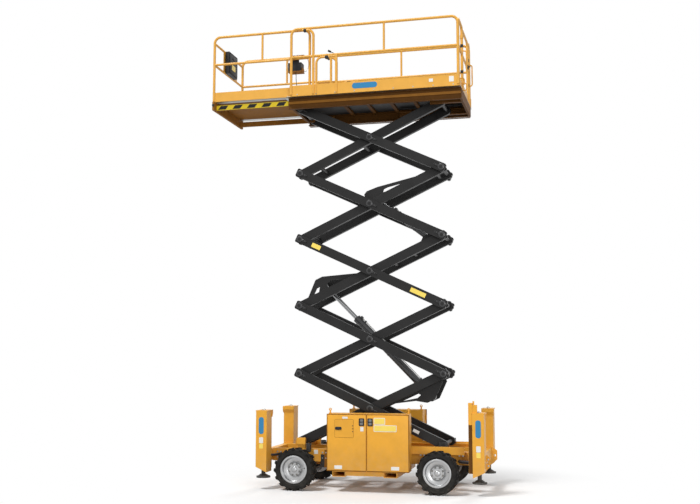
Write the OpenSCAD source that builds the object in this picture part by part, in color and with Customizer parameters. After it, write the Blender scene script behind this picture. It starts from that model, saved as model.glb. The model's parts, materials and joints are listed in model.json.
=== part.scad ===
// Rough-terrain scissor lift, raised part way, with its roll-out deck extended.
// +X is the rear (entry gate), -X the front (steered axle), +Z up, millimetres.
// The origin is on the ground under the middle of the wheelbase.

/* [Running gear] */
// Distance between the front and rear axles
wheelbase = 2390; // [2200:10:2500]
// Width over the tyres
overall_w = 1800; // [1700:10:1900]
// Tyre diameter over the lugs
tyre_d = 690; // [640:10:720]
// Tyre width
tyre_w = 240; // [200:5:250]
// Rim diameter over its flanges
rim_d = 460; // [420:5:480]
// Height of the tyre lugs
lug_h = 20; // [15:1:32]
// Lugs in each of a tyre's two rows
lug_count = 16; // [12:1:16]
// Distance of the kingpins inside the tyres' outer sides
kingpin_inset = 300; // [290:5:310]

/* [Chassis] */
// Height of the top of the frame rails
frame_top = 650; // [620:5:660]
// Depth of the frame rails
frame_depth = 210; // [160:5:220]
// Width of each frame rail
rail_w = 90; // [70:5:100]
// Outside of the frame rails from the middle
rail_out = 450; // [440:5:460]
// Distance of the front stabiliser legs ahead of the front axle
front_overhang = 567; // [560:1:620]
// Distance of the rear stabiliser legs behind the rear axle
rear_overhang = 665; // [600:5:700]
// Length of a stabiliser leg along the machine
leg_l = 188; // [160:2:200]
// Width of a stabiliser leg across the machine
leg_w = 270; // [220:5:290]
// Height of the top of the legs
leg_top = 1306; // [1200:2:1350]
// Height of the lowest corner of the legs
leg_bottom = 287; // [270:1:320]
// Height of the underside of the jack pads
pad_z = 190; // [150:5:210]
// Diameter of the jack pads
pad_d = 236; // [180:2:250]

/* [Cabinets] */
// Distance from the front axle back to the cabinets
cabinet_front_gap = 590; // [575:5:640]
// Distance from the cabinets back to the rear axle
cabinet_rear_gap = 468; // [455:1:520]
// Height of the cabinet floor's underside
cabinet_bottom = 340; // [340:1:340]
// Height of the cabinet tops
cabinet_top = 1270; // [1150:5:1290]
// Inner side of the cabinets from the middle
cabinet_in = 575; // [570:1:620]
// Thickness of the cabinet walls
cabinet_wall = 20; // [10:1:25]
// Thickness of the cabinet doors
door_t = 26; // [20:1:30]

/* [Scissor stack] */
// Length of an arm between its end pins
arm_l = 2752; // [2650:2:2800]
// Depth of an arm
arm_depth = 150; // [130:2:154]
// Thickness of an arm
arm_w = 80; // [60:2:84]
// Angle of the arms above level
lift_angle = 25; // [15:0.5:35]
// Height of the lowest pins
base_pin_z = 755; // [745:1:770]
// Outside of the outer arms from the middle
arm_out = 450; // [448:1:452]
// Gap between an outer and an inner arm
arm_gap = 10; // [8:1:14]
// Radius of the scissor pins
pin_r = 35; // [28:1:40]
// Radial clearance of a pin in its bore
pin_clear = 0.3; // [0.1:0.05:0.5]

/* [Lift cylinders] */
// Outside radius of the lower cylinder's barrel
barrel_r = 62; // [55:1:66]
// Radius of the lower cylinder's rod
rod_r = 36; // [30:1:40]
// Outside radius of the upper cylinder's barrel
upper_barrel_r = 50; // [45:1:54]
// Radius of the upper cylinder's rod
upper_rod_r = 30; // [25:1:34]

/* [Platform] */
// Height of the deck frame's top above the top pins
deck_rise = 130; // [124:1:136]
// Depth of the deck's side channels
channel_depth = 180; // [160:2:190]
// Outside of the deck's side channels from the middle
channel_out = 660; // [655:1:680]
// Reach of the deck ahead of the front pins
deck_front_over = 153; // [140:1:180]
// Reach of the deck behind the rear pins
deck_rear_over = 393; // [385:1:430]
// Middle of the guard rails from the middle of the deck
guard_y = 800; // [795:1:815]
// Height of the top rail above the deck
guard_h = 1195; // [1100:5:1200]
// Height of the middle rail above the deck
mid_h = 690; // [600:5:720]
// Height of the toe boards
toe_h = 184; // [120:2:200]
// Radius of the guard rail tubes
tube_r = 23; // [18:1:25]

/* [Roll-out deck] */
// Reach of the roll-out deck ahead of the main deck
roll_out = 1400; // [1380:5:1450]
// Middle of the roll-out deck's rails from the middle
roll_y = 720; // [700:1:730]
// Length of the roll-out deck's floor that stays on the main deck
roll_lap = 420; // [380:5:460]

/* [Hidden] */
STAGES = 5;
$fn = 48;
yellow = "#E9A92F";
black = "#2E3033";
SIDES = [-1, 1];
SIDE_NAMES = ["left", "right"];
ENDS = [-1, 1];
END_NAMES = ["front", "rear"];

// Places along the machine worked out from the wheelbase
kingpin_y = overall_w / 2 - kingpin_inset;
front_leg_x = wheelbase / 2 + front_overhang;
rear_leg_x = wheelbase / 2 + rear_overhang;
cabinet_front = wheelbase / 2 - cabinet_front_gap;
cabinet_rear = wheelbase / 2 - cabinet_rear_gap;

// Scissor stack worked out from the arms
pin_x = arm_l / 2 * cos(lift_angle);
stage_h = arm_l * sin(lift_angle);
top_pin_z = base_pin_z + STAGES * stage_h;
inner_out = arm_out - arm_w - arm_gap;
inner_in = inner_out - arm_w;
boss_t = 8;
arm_end = 68;
plate_t = 16;
plate_out = inner_in - 8;
TIE_SHARES = [[0.16, 0.45], [0.18, 0.84], [0.64, 0.78], [0.062, 0.953], [0.12, 0.435]];
tie_r = 36;
slider_l = 140;
slider_h = 89.4;
slide_gap = 0.3;
slider_w = 66;
slider_in = arm_out + boss_t + 5;

// Lift cylinder pins in the inner arms' own frames: along the arm from its lower pin, above its axis
low_foot = [0.855, -0.087] * arm_l;
low_eye = [0.165, 0.087] * arm_l;
high_foot = [0.911, 0.033] * arm_l;
high_eye = [0.521, 0.069] * arm_l;
weld_z = arm_depth / 2 - 15;
low_pin_r = 40;
high_pin_r = 34;
// The rod eyes sit between stub pins, with a gap at each side
rod_eye_half = 70;
eye_gap = 5;

// Wheels
axle_z = tyre_d / 2;
wheel_y = overall_w / 2 - tyre_w / 2;
spindle_r = 45;
hub_in = wheel_y - tyre_w / 2 - 8;

// Legs and jacks
leg_out = overall_w / 2;
leg_in = leg_out - leg_w;
leg_mid = leg_out - leg_w / 2;
jack_r = 34;
jack_top = 900;

// Cabinets
door_split = (cabinet_rear - cabinet_front) / 2 - 17;
cabinet_out = overall_w / 2 - 5;
shell_out = cabinet_out - door_t - 2;
hinge_y = shell_out - 6;
hinge_off = 13;
hinge_r = 10;
hinge_pin_r = 5;
HINGE_Z = [cabinet_bottom + 150, (cabinet_bottom + cabinet_top) / 2, cabinet_top - 150];

// Base track for the sliding blocks
track_t = 15;
track_out = slider_in + slider_w + 2 + track_t;
track_front = pin_x - 877;
track_rear = pin_x + 343;

// Platform
deck_z = top_pin_z + deck_rise;
deck_front = pin_x + deck_front_over;
deck_rear = pin_x + deck_rear_over;
top_track_front = pin_x - 867;
deck_t = 6;
member_depth = 38;
top_slider_w = 58;
top_slider_out = inner_out + 7 + top_slider_w;
top_slider_h = 80;
top_slider_l = 130;
guard_top = deck_z + deck_t + guard_h;
guard_mid = deck_z + deck_t + mid_h;
bend_r = 110;
rear_post_x = deck_rear - 36;
gate_from = -240;
gate_to = 540;
// The gate hangs on sleeves round the post on its left
hinge_line = gate_from - 30;
sleeve_h = 60;
SLEEVE_Z = [guard_mid - 500, guard_mid + 280];

// Roll-out deck
beam_in = 598;
beam_out = 643;
beam_top = deck_z - 30;
beam_depth = 90;
roll_floor = deck_z + deck_t + 10;
roll_front = deck_front + roll_out;
roll_rear = deck_front - roll_lap;
roll_beam_rear = deck_front - 500;
roll_rail_rear = deck_front - 400;
roll_post_x = -roll_front + 927;

ARM_NODES = [for (stage = [1:STAGES], kind = ["inner", "outer"]) str(kind, "_arms_", stage)];
WHEEL_NODES = [for (e = END_NAMES, s = SIDE_NAMES, part = ["tyre", "rim"]) str(part, "_", e, "_", s)];
JACK_NODES = [for (e = END_NAMES, s = SIDE_NAMES) str("jack_", e, "_", s)];
DOOR_NODES = [for (s = SIDE_NAMES, e = END_NAMES) str("door_", s, "_", e)];
NODES = concat(
    ["chassis_frame", "front_legs", "rear_legs", "front_axle", "rear_axle", "knuckle_left", "knuckle_right",
     "steer_cylinder", "steer_rod", "fork_pocket_front", "fork_pocket_rear", "cabinet_left", "cabinet_right",
     "battery_pack", "hydraulic_unit"],
    WHEEL_NODES, JACK_NODES, DOOR_NODES, ARM_NODES,
    ["base_sliders", "top_sliders", "lower_barrel", "lower_rod", "upper_barrel", "upper_rod",
     "deck_frame", "deck_plate", "side_rail_left", "side_rail_right", "rear_rail", "gate",
     "roll_frame", "roll_deck", "roll_rails", "control_box", "manual_box"]);
node = "all";

// Small geometry helpers

function unit(v) = v / norm(v);
function across(v) = abs(v[2]) > 0.9 * norm(v) ? unit(cross([0, 1, 0], v)) : unit(cross([0, 0, 1], v));

// Places children with their Z axis along d at point p
module along(p, d) {
    z = unit(d);
    x = across(z);
    y = cross(z, x);
    multmatrix([[x[0], y[0], z[0], p[0]], [x[1], y[1], z[1], p[1]], [x[2], y[2], z[2], p[2]], [0, 0, 0, 1]])
        children();
}

module rod_between(a, b, r) {
    along(a, b - a) cylinder(h = norm(b - a), r = r);
}

// One bend of a tube at corner p, from direction u to direction w
module tube_bend(p, u, w, r, bend) {
    turn = acos(u * w);
    n = unit(w - (w * u) * u);
    c = p - u * bend * tan(turn / 2) + n * bend;
    z = cross(-n, u);
    multmatrix([[-n[0], u[0], z[0], c[0]], [-n[1], u[1], z[1], c[1]], [-n[2], u[2], z[2], c[2]], [0, 0, 0, 1]])
        rotate_extrude(angle = turn) translate([bend, 0]) circle(r);
}

// A round tube through points, with every corner bent to one radius
module bent_tube(pts, r, bend) {
    last = len(pts) - 1;
    function way(i) = unit(pts[i + 1] - pts[i]);
    function trim(i) = i == 0 || i == last ? 0 : bend * tan(acos(way(i - 1) * way(i)) / 2);
    for (i = [0:last - 1])
        rod_between(pts[i] + way(i) * trim(i), pts[i + 1] - way(i) * trim(i + 1), r);
    if (last > 1)
        for (i = [1:last - 1]) tube_bend(pts[i], way(i - 1), way(i), r, bend);
}

module span(x0, x1, y0, y1, z0, z1) {
    translate([x0, y0, z0]) cube([x1 - x0, y1 - y0, z1 - z0]);
}

module both_sides() {
    for (s = [0, 1]) mirror([0, s, 0]) children();
}

// A cylinder across the machine, centred on y = 0 or from y0 to y1
module cross_pin(x, z, y0, y1, r) {
    translate([x, y1, z]) rotate([90, 0, 0]) cylinder(h = y1 - y0, r = r);
}

// A flat plate in the XZ plane from y0 to y1
module side_plate(y0, y1) {
    translate([0, y1, 0]) rotate([90, 0, 0]) linear_extrude(y1 - y0) children();
}

// Scissor stack

function inner_point(stage, p) = [-pin_x + p[0] * cos(lift_angle) - p[1] * sin(lift_angle), 0,
    base_pin_z + (stage - 1) * stage_h + p[0] * sin(lift_angle) + p[1] * cos(lift_angle)];

// The square end of an arm's tube, past the pin at x, with its corners cut off
module tube_end(x, way, y0) {
    half = arm_depth / 2;
    cut = 18;
    side_plate(y0, y0 + arm_w)
        polygon([[x - way * 20, -half], [x + way * (arm_end - cut), -half], [x + way * arm_end, cut - half],
            [x + way * arm_end, half - cut], [x + way * (arm_end - cut), half], [x - way * 20, half]]);
}

// One arm; its ends are square between stages, and round where the chassis or the deck holds them
module arm_blade(y0, square_start, square_end) {
    span(0, arm_l, y0, y0 + arm_w, -arm_depth / 2, arm_depth / 2);
    if (square_start) tube_end(0, -1, y0);
    else cross_pin(0, 0, y0, y0 + arm_w, arm_depth / 2);
    if (square_end) tube_end(arm_l, 1, y0);
    else cross_pin(arm_l, 0, y0, y0 + arm_w, arm_depth / 2);
}

module outer_arms(stage) {
    reach = stage == 1 ? slider_in + slider_w - 2 : arm_out + boss_t;
    color(black) translate([-pin_x, 0, base_pin_z + stage * stage_h]) rotate([0, lift_angle, 0]) {
        both_sides() {
            arm_blade(arm_out - arm_w, stage < STAGES, stage > 1);
            for (x = [0, arm_l / 2, arm_l]) cross_pin(x, 0, arm_out, arm_out + boss_t, pin_r + 18);
            cross_pin(arm_l / 2, 0, inner_in + 6, arm_out, pin_r);
        }
        cross_pin(0, 0, -arm_out, arm_out, pin_r);
        cross_pin(arm_l, 0, -reach, reach, pin_r);
    }
}

module low_foot_plate() {
    difference() {
        polygon([[0.6 * arm_l, -weld_z], [0.967 * arm_l, -weld_z], [0.967 * arm_l, -weld_z - 48],
            low_foot + [65, -76], low_foot + [-75, -76], [0.767 * arm_l, low_foot[1] + 35]]);
        polygon([[0.662 * arm_l, -weld_z - 35], [0.796 * arm_l, -weld_z - 35], low_foot + [-120, 88],
            low_foot + [-200, 65]]);
    }
}

module low_eye_plate() {
    difference() {
        polygon([[0.047 * arm_l, weld_z], low_eye + [-45, 72], low_eye + [90, 72], [0.425 * arm_l, weld_z + 15],
            [0.425 * arm_l, weld_z]]);
        polygon([low_eye + [-170, -148], low_eye + [-75, -148], low_eye + [-25, -75], low_eye + [-80, -75]]);
        polygon([low_eye + [105, -148], low_eye + [445, -148], low_eye + [185, -50], low_eye + [105, -90]]);
    }
}

module high_foot_plate() {
    polygon([[high_foot[0] - 175, weld_z], high_foot + [-65, 60], high_foot + [65, 60],
        [high_foot[0] + 155, weld_z]]);
}

module high_eye_plate() {
    difference() {
        polygon([[high_eye[0] - 123, weld_z], high_eye + [-98, 35], high_eye + [-33, 68], high_eye + [167, 50],
            [0.862 * arm_l, weld_z + 16], [0.862 * arm_l, weld_z]]);
        polygon([high_eye + [207, -90], high_eye + [257, -40], high_eye + [327, -40], high_eye + [567, -90]]);
    }
}

// Plates on the insides of an inner arm pair, welded to the arms over their own depth
module bracket_pair(x0, x1) {
    both_sides() {
        side_plate(plate_out - plate_t, plate_out) children();
        span(x0, x1, plate_out - plate_t, inner_in + 4, -arm_depth / 2 + 8, arm_depth / 2 - 8);
    }
}

module inner_arms(stage) {
    last = stage == STAGES;
    color(black) translate([-pin_x, 0, base_pin_z + (stage - 1) * stage_h]) rotate([0, -lift_angle, 0]) {
        difference() {
            both_sides() arm_blade(inner_in, stage > 1, !last);
            for (x = last ? [0, arm_l / 2] : [0, arm_l / 2, arm_l])
                cross_pin(x, 0, -inner_out - 1, inner_out + 1, pin_r + pin_clear);
        }
        for (share = TIE_SHARES[stage - 1]) cross_pin(share * arm_l, 0, -inner_in - 4, inner_in + 4, tie_r);
        if (last) cross_pin(arm_l, 0, -top_slider_out + 2, top_slider_out - 2, pin_r);
        if (stage == 1) {
            bracket_pair(0.607 * arm_l, 0.963 * arm_l) low_foot_plate();
            cross_pin(low_foot[0], low_foot[1], -plate_out, plate_out, low_pin_r);
        }
        if (stage == 3) {
            bracket_pair(0.055 * arm_l, 0.418 * arm_l) low_eye_plate();
            both_sides() cross_pin(low_eye[0], low_eye[1], rod_eye_half + eye_gap, plate_out, low_pin_r);
            bracket_pair(high_foot[0] - 155, high_foot[0] + 135) high_foot_plate();
            cross_pin(high_foot[0], high_foot[1], -plate_out, plate_out, high_pin_r);
        }
        if (stage == 4) {
            bracket_pair(high_eye[0] - 103, 0.848 * arm_l) high_eye_plate();
            both_sides() cross_pin(high_eye[0], high_eye[1], rod_eye_half + eye_gap, plate_out, high_pin_r);
        }
    }
}

module sliding_block(l, w, h, y0) {
    difference() {
        span(-l / 2, l / 2, y0, y0 + w, -h / 2, h / 2);
        cross_pin(0, 0, y0 - 1, y0 + w + 1, pin_r + pin_clear);
    }
}

module base_sliders() {
    color("#4a4a44") translate([pin_x, 0, base_pin_z]) both_sides()
        sliding_block(slider_l, slider_w, slider_h, slider_in);
}

module top_sliders() {
    color("#4a4a44") translate([pin_x, 0, top_pin_z]) both_sides()
        sliding_block(top_slider_l, top_slider_w, top_slider_h, top_slider_out - top_slider_w);
}

// Lift cylinders

module barrel(foot, eye, length, r, bore, eye_pin) {
    way = unit(eye - foot);
    difference() {
        union() {
            rod_between(foot, foot + way * length, r);
            rod_between(foot + way * (length - 90), foot + way * (length - 2), r + 10);
            cross_pin(foot[0], foot[2], -r, r, eye_pin + 34);
        }
        cross_pin(foot[0], foot[2], -r - 1, r + 1, eye_pin + pin_clear);
        rod_between(foot + way * (eye_pin + 60), foot + way * (length + 1), bore);
    }
}

module piston_rod(foot, eye, length, r, eye_pin) {
    rod_between(eye - unit(eye - foot) * length, eye, r);
    cross_pin(eye[0], eye[2], -rod_eye_half, rod_eye_half, eye_pin + 20);
}

lower_foot = inner_point(1, low_foot);
lower_eye = inner_point(3, low_eye);
upper_foot = inner_point(3, high_foot);
upper_eye = inner_point(4, high_eye);
lower_barrel_l = 0.683 * arm_l;
lower_rod_l = 0.687 * arm_l;
upper_barrel_l = 0.32 * arm_l;
upper_rod_l = 0.345 * arm_l;

module lower_barrel() {
    color(black) barrel(lower_foot, lower_eye, lower_barrel_l, barrel_r, rod_r + slide_gap, low_pin_r);
}

module lower_rod() {
    color("silver") piston_rod(lower_foot, lower_eye, lower_rod_l, rod_r, low_pin_r);
}

module upper_barrel() {
    color(black)
        barrel(upper_foot, upper_eye, upper_barrel_l, upper_barrel_r, upper_rod_r + slide_gap, high_pin_r);
}

module upper_rod() {
    color("silver") piston_rod(upper_foot, upper_eye, upper_rod_l, upper_rod_r, high_pin_r);
}

// Chassis

pocket_x = 430;
pocket_w = 220;
pocket_h = 90;
pocket_wall = 10;
pocket_out = overall_w / 2 - 35;

// A rectangular tube across the machine for one fork tine
module fork_pocket(e) {
    x = e * pocket_x;
    half = pocket_w / 2;
    low = cabinet_bottom - pocket_h;
    color(yellow) difference() {
        span(x - half, x + half, -pocket_out, pocket_out, low, cabinet_bottom);
        span(x - half + pocket_wall, x + half - pocket_wall, -pocket_out - 1, pocket_out + 1, low + pocket_wall,
            cabinet_bottom - pocket_wall);
    }
}

module base_tracks() {
    low = base_pin_z - slider_h / 2 - slide_gap;
    both_sides() {
        span(track_front, track_rear, track_out - track_t, track_out, frame_top - 40, base_pin_z - 18);
        span(track_front, track_rear, slider_in - 1, track_out, low - track_t, low);
        span(track_front, track_rear, rail_out - 10, track_out, frame_top - 40, frame_top);
    }
}

module pivot_lugs() {
    lug_in = inner_out + arm_gap + 2;
    lug_t = 40;
    both_sides() {
        span(-pin_x - 65, -pin_x + 65, lug_in, lug_in + lug_t, frame_top - 30, base_pin_z);
        cross_pin(-pin_x, base_pin_z, lug_in, lug_in + lug_t, 65);
        span(-pin_x - 20, -pin_x + 150, rail_out - 10, rail_out + 36, frame_top - 40, frame_top);
        span(-pin_x - 10, -pin_x + 140, rail_out + 16, rail_out + 36, frame_top - 10, base_pin_z + 60);
        span(-pin_x - 10, -pin_x + 140, rail_out + 16, rail_out + 70, base_pin_z - 30, base_pin_z + 80);
    }
    cross_pin(-pin_x, base_pin_z, -lug_in - lug_t, lug_in + lug_t, pin_r);
}

module chassis_frame() {
    frame_bottom = frame_top - frame_depth;
    front = front_leg_x - 60;
    rear = rear_leg_x - 60;
    color(yellow) {
        both_sides() {
            span(-front, rear, rail_out - rail_w, rail_out, frame_bottom, frame_top);
            for (e = ENDS)
                span(e * pocket_x - pocket_w / 2, e * pocket_x + pocket_w / 2, rail_out - rail_w, rail_out,
                    cabinet_bottom, frame_bottom + 1);
        }
        for (x = [-620, -60, 560])
            span(x, x + 110, -rail_out + 10, rail_out - 10, frame_bottom, frame_bottom + 100);
        base_tracks();
        pivot_lugs();
    }
}

// A pair of stabiliser legs with the beam that carries them; e is -1 at the front and 1 at the rear
module leg_pair(e) {
    x_mid = e < 0 ? front_leg_x : rear_leg_x;
    beam_z0 = frame_top - frame_depth + 10;
    color(yellow) mirror([e < 0 ? 1 : 0, 0, 0]) {
        both_sides() difference() {
            union() {
                translate([x_mid, leg_out, 0]) rotate([90, 0, 0]) linear_extrude(leg_w) leg_outline();
                translate([x_mid - leg_l / 2 - cap_over, 0, 0]) rotate([90, 0, 90])
                    linear_extrude(leg_l + 2 * cap_over) leg_hood();
                span(x_mid - leg_l / 2 - cap_over, x_mid + leg_l / 2 + cap_over, leg_in - 1, leg_out - 12,
                    leg_top - 14, leg_top);
                side_plate(leg_in - 14, leg_in + 1) translate([x_mid, 0]) tie_plate();
            }
            translate([x_mid, leg_mid, 0]) cylinder(h = jack_top + 20, r = jack_r + slide_gap);
            cross_pin(x_mid + leg_l / 2 + 22, beam_z0 + 60, leg_in - 20, leg_in + 5, tie_hole_r);
        }
        span(x_mid - 60, x_mid + 60, -leg_in - 1, leg_in + 1, beam_z0, frame_top - 10);
        if (e > 0) leg_post(x_mid - leg_l / 2);
    }
}
tie_hole_r = 20;
cap_over = 12;
post_rise = 160;

// The tall strip on the inboard edge of the rear left leg, with its broad head
module leg_post(x) {
    span(x - 62, x + 1, -leg_out + 14, -leg_out + 90, leg_bottom + 70, leg_top + post_rise);
    span(x - 62, x + 78, -leg_out + 20, -leg_out + 60, leg_top - 1, leg_top + post_rise - 30);
    translate([x + 20, -leg_out + 40, leg_top + post_rise - 31]) cylinder(h = 60, r = 14);
}

// Side view of a leg: its foot is cut up towards the machine's end
module leg_outline() {
    half = leg_l / 2;
    polygon([[-half, leg_bottom], [-half, leg_top], [half, leg_top], [half, leg_bottom + 88]]);
}

// End view of the hood on a leg's inner side
module leg_hood() {
    polygon([[leg_in - 34, leg_top], [leg_in + 2, leg_top], [leg_in + 2, leg_top - 120],
        [leg_in - 34, leg_top - 60]]);
}

// Side view of the plate behind a leg, with the tie-down hole
module tie_plate() {
    out = leg_l / 2;
    polygon([[-out, leg_bottom + 60], [-out, 660], [out - 30, 660], [out + 62, 590], [out + 62, 440],
        [out - 40, leg_bottom + 60]]);
}

module jack(e, s) {
    x = e * (e < 0 ? front_leg_x : rear_leg_x);
    color("#55564f") translate([x, s * leg_mid, 0]) {
        translate([0, 0, pad_z]) cylinder(h = 26, r = pad_d / 2);
        translate([0, 0, pad_z + 26]) cylinder(h = 34, r1 = pad_d / 2 - 18, r2 = jack_r + 14);
        translate([0, 0, pad_z + 60]) cylinder(h = jack_top - pad_z - 60, r = jack_r);
    }
}

// Axles and steering

module rear_axle() {
    color(yellow) {
        cross_pin(wheelbase / 2, axle_z, -kingpin_y + 60, kingpin_y - 60, 75);
        both_sides() {
            span(wheelbase / 2 - 80, wheelbase / 2 + 80, rail_out - rail_w, rail_out, axle_z - 20,
                frame_top - frame_depth);
            cross_pin(wheelbase / 2, axle_z, kingpin_y - 90, hub_in, 130);
            cross_pin(wheelbase / 2, axle_z, hub_in - 1, wheel_y + 40, spindle_r);
        }
    }
}

yoke_h = 150;
yoke_t = 34;
kingpin_r = 24;
steer_arm = 150;
steer_z = axle_z - 40;

module front_axle() {
    x = -wheelbase / 2;
    color(yellow) {
        span(x - 65, x + 65, -kingpin_y + 66, kingpin_y - 66, axle_z - 65, axle_z + 65);
        both_sides() {
            span(x - 65, x + 65, rail_out - rail_w, rail_out, axle_z + 60, frame_top - frame_depth);
            difference() {
                union() {
                    span(x - 45, x + 45, kingpin_y - 120, kingpin_y - 62, axle_z - yoke_h / 2 - yoke_t,
                        axle_z + yoke_h / 2 + yoke_t);
                    for (z = [axle_z - yoke_h / 2 - yoke_t, axle_z + yoke_h / 2]) {
                        span(x - 45, x + 45, kingpin_y - 120, kingpin_y, z, z + yoke_t);
                        translate([x, kingpin_y, z]) cylinder(h = yoke_t, r = 45);
                    }
                }
                translate([x, kingpin_y, axle_z - yoke_h]) cylinder(h = 2 * yoke_h, r = kingpin_r + pin_clear);
            }
        }
    }
}

module knuckle(s) {
    x = -wheelbase / 2;
    color(black) mirror([0, s < 0 ? 1 : 0, 0]) {
        translate([x, kingpin_y, axle_z - yoke_h / 2 - yoke_t])
            cylinder(h = yoke_h + 2 * yoke_t, r = kingpin_r);
        translate([x, kingpin_y, axle_z - yoke_h / 2 + slide_gap])
            cylinder(h = yoke_h - 2 * slide_gap, r = 44);
        cross_pin(x, axle_z, kingpin_y, wheel_y + 40, spindle_r);
        span(x, x + steer_arm, kingpin_y - 20, kingpin_y + 20, steer_z - 16, steer_z + 16);
        translate([x + steer_arm, kingpin_y, steer_z - 16]) cylinder(h = 32, r = 26);
        translate([x + steer_arm, kingpin_y, steer_z - 50]) cylinder(h = 40, r = 14);
    }
}

steer_bar_z = steer_z - 36;
steer_bar_r = 16;

module steer_cylinder() {
    x = -wheelbase / 2 + steer_arm;
    color(black) difference() {
        union() {
            cross_pin(x, steer_bar_z, -230, 230, 36);
            for (y = [-190, 170])
                span(-wheelbase / 2 + 65, x + 10, y, y + 20, steer_bar_z - 30, steer_bar_z + 60);
        }
        cross_pin(x, steer_bar_z, -240, 240, steer_bar_r + slide_gap);
    }
}

// Steering rod with a slotted eye at each end for the knuckle pins
module steer_rod() {
    x = -wheelbase / 2 + steer_arm;
    eye_y = kingpin_y;
    color("silver") {
        cross_pin(x, steer_bar_z, -eye_y + 30, eye_y - 30, steer_bar_r);
        both_sides() difference() {
            span(x - 55, x + 45, eye_y - 34, eye_y + 34, steer_bar_z - 13, steer_bar_z + 13);
            span(x - 38, x + 28, eye_y - 19, eye_y + 19, steer_bar_z - 14, steer_bar_z + 14);
        }
    }
}

// Wheels

// A tyre with two rows of slanted lugs, whose outer faces lie on the tyre's diameter
module tyre(e, s) {
    r = tyre_d / 2;
    base = r - lug_h;
    inner = rim_d / 2 - 22;
    half = tyre_w / 2;
    color("#26272a") translate([e * wheelbase / 2, s * wheel_y, axle_z]) rotate([90, 0, 0]) {
        rotate_extrude($fn = 24)
            polygon([[inner, -half + 24], [r - 84, -half + 2], [base - 16, -half + 8], [base, -half + 30],
                [base, half - 30], [base - 16, half - 8], [r - 84, half - 2], [inner, half - 24]]);
        intersection() {
            cylinder(h = tyre_w, r = r, center = true, $fn = 24);
            for (row = SIDES, i = [0:lug_count - 1])
                rotate((i + row / 4) * 360 / lug_count) translate([base - 10, 0, row * half * 0.53])
                    rotate([row * 24, 0, 0]) translate([0, -lug_w / 2, -half / 2])
                        cube([lug_h + 20, lug_w, half]);
        }
    }
}
lug_w = 46;

module rim(e, s) {
    half = tyre_w / 2;
    bead = rim_d / 2 - 22.3;
    flange = rim_d / 2;
    color("#c9cacb") translate([e * wheelbase / 2, s * wheel_y, axle_z]) mirror([0, s > 0 ? 0 : 1, 0])
        rotate([-90, 0, 0]) difference() {
            rotate_extrude($fn = 72) {
                polygon([[bead - 10, -half + 4], [bead, -half + 4], [bead, half - 4], [bead - 10, half - 4]]);
                polygon([[spindle_r + pin_clear, -60], [90, -60], [90, 10], [bead - 4, 10], [bead - 4, 24],
                    [120, 24], [105, 52], [80, 52], [80, 70], [spindle_r + pin_clear, 70]]);
            }
            for (i = [0:7]) rotate(i * 45) translate([150, 0, 0]) cylinder(h = 60, r = 16);
        }
}

// Cabinets

module cabinet(s) {
    floor_z = cabinet_bottom;
    color(yellow) mirror([0, s < 0 ? 1 : 0, 0]) {
        difference() {
            span(-cabinet_front, cabinet_rear, cabinet_in, shell_out, floor_z, cabinet_top);
            span(-cabinet_front + cabinet_wall, cabinet_rear - cabinet_wall, cabinet_in + cabinet_wall,
                shell_out + 1, floor_z + cabinet_wall, cabinet_top - cabinet_wall);
        }
        span(-pocket_x + pocket_w / 2 + 2, pocket_x - pocket_w / 2 - 2, pocket_out - 40, pocket_out - 4,
            floor_z - 72, floor_z + 1);
        for (e = ENDS, z = HINGE_Z) {
            x = e < 0 ? -cabinet_front - hinge_off : cabinet_rear + hinge_off;
            translate([x, hinge_y, z - 45]) cylinder(h = 90, r = hinge_pin_r);
            for (dz = [-45, 27]) {
                translate([x, hinge_y, z + dz]) cylinder(h = 18, r = hinge_r);
                span(min(x, x - e * hinge_off) - (e < 0 ? 0 : 1), max(x, x - e * hinge_off) + (e < 0 ? 1 : 0),
                    hinge_y - hinge_r, hinge_y, z + dz, z + dz + 18);
            }
        }
    }
}

module door(s, e) {
    x0 = e < 0 ? -cabinet_front : door_split + 3;
    x1 = e < 0 ? door_split - 3 : cabinet_rear;
    x = e < 0 ? -cabinet_front - hinge_off : cabinet_rear + hinge_off;
    color(yellow) mirror([0, s < 0 ? 1 : 0, 0]) {
        span(x0, x1, cabinet_out - door_t, cabinet_out, cabinet_bottom + 4, cabinet_top - 4);
        for (z = HINGE_Z) difference() {
            union() {
                translate([x, hinge_y, z - 26]) cylinder(h = 52, r = hinge_r);
                span(min(x, x - e * hinge_r), max(x, x - e * hinge_r), hinge_y, cabinet_out - 6, z - 26, z + 26);
                span(min(x - e * hinge_r, x - e * 20), max(x - e * hinge_r, x - e * 20),
                    cabinet_out - door_t + 1, cabinet_out - 6, z - 26, z + 26);
            }
            translate([x, hinge_y, z - 27]) cylinder(h = 54, r = hinge_pin_r + pin_clear);
        }
    }
}

module battery_pack() {
    color("#3a3d40") span(-cabinet_front + 120, cabinet_rear - 120, -shell_out + 40,
        -cabinet_in - cabinet_wall - 20, cabinet_bottom + cabinet_wall, (cabinet_bottom + cabinet_top) / 2 + 95);
}

module hydraulic_unit() {
    color("#3a3d40") span(-cabinet_front + 160, cabinet_rear - 300, cabinet_in + cabinet_wall + 20,
        shell_out - 40, cabinet_bottom + cabinet_wall, (cabinet_bottom + cabinet_top) / 2 + 135);
}

// Platform

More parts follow.
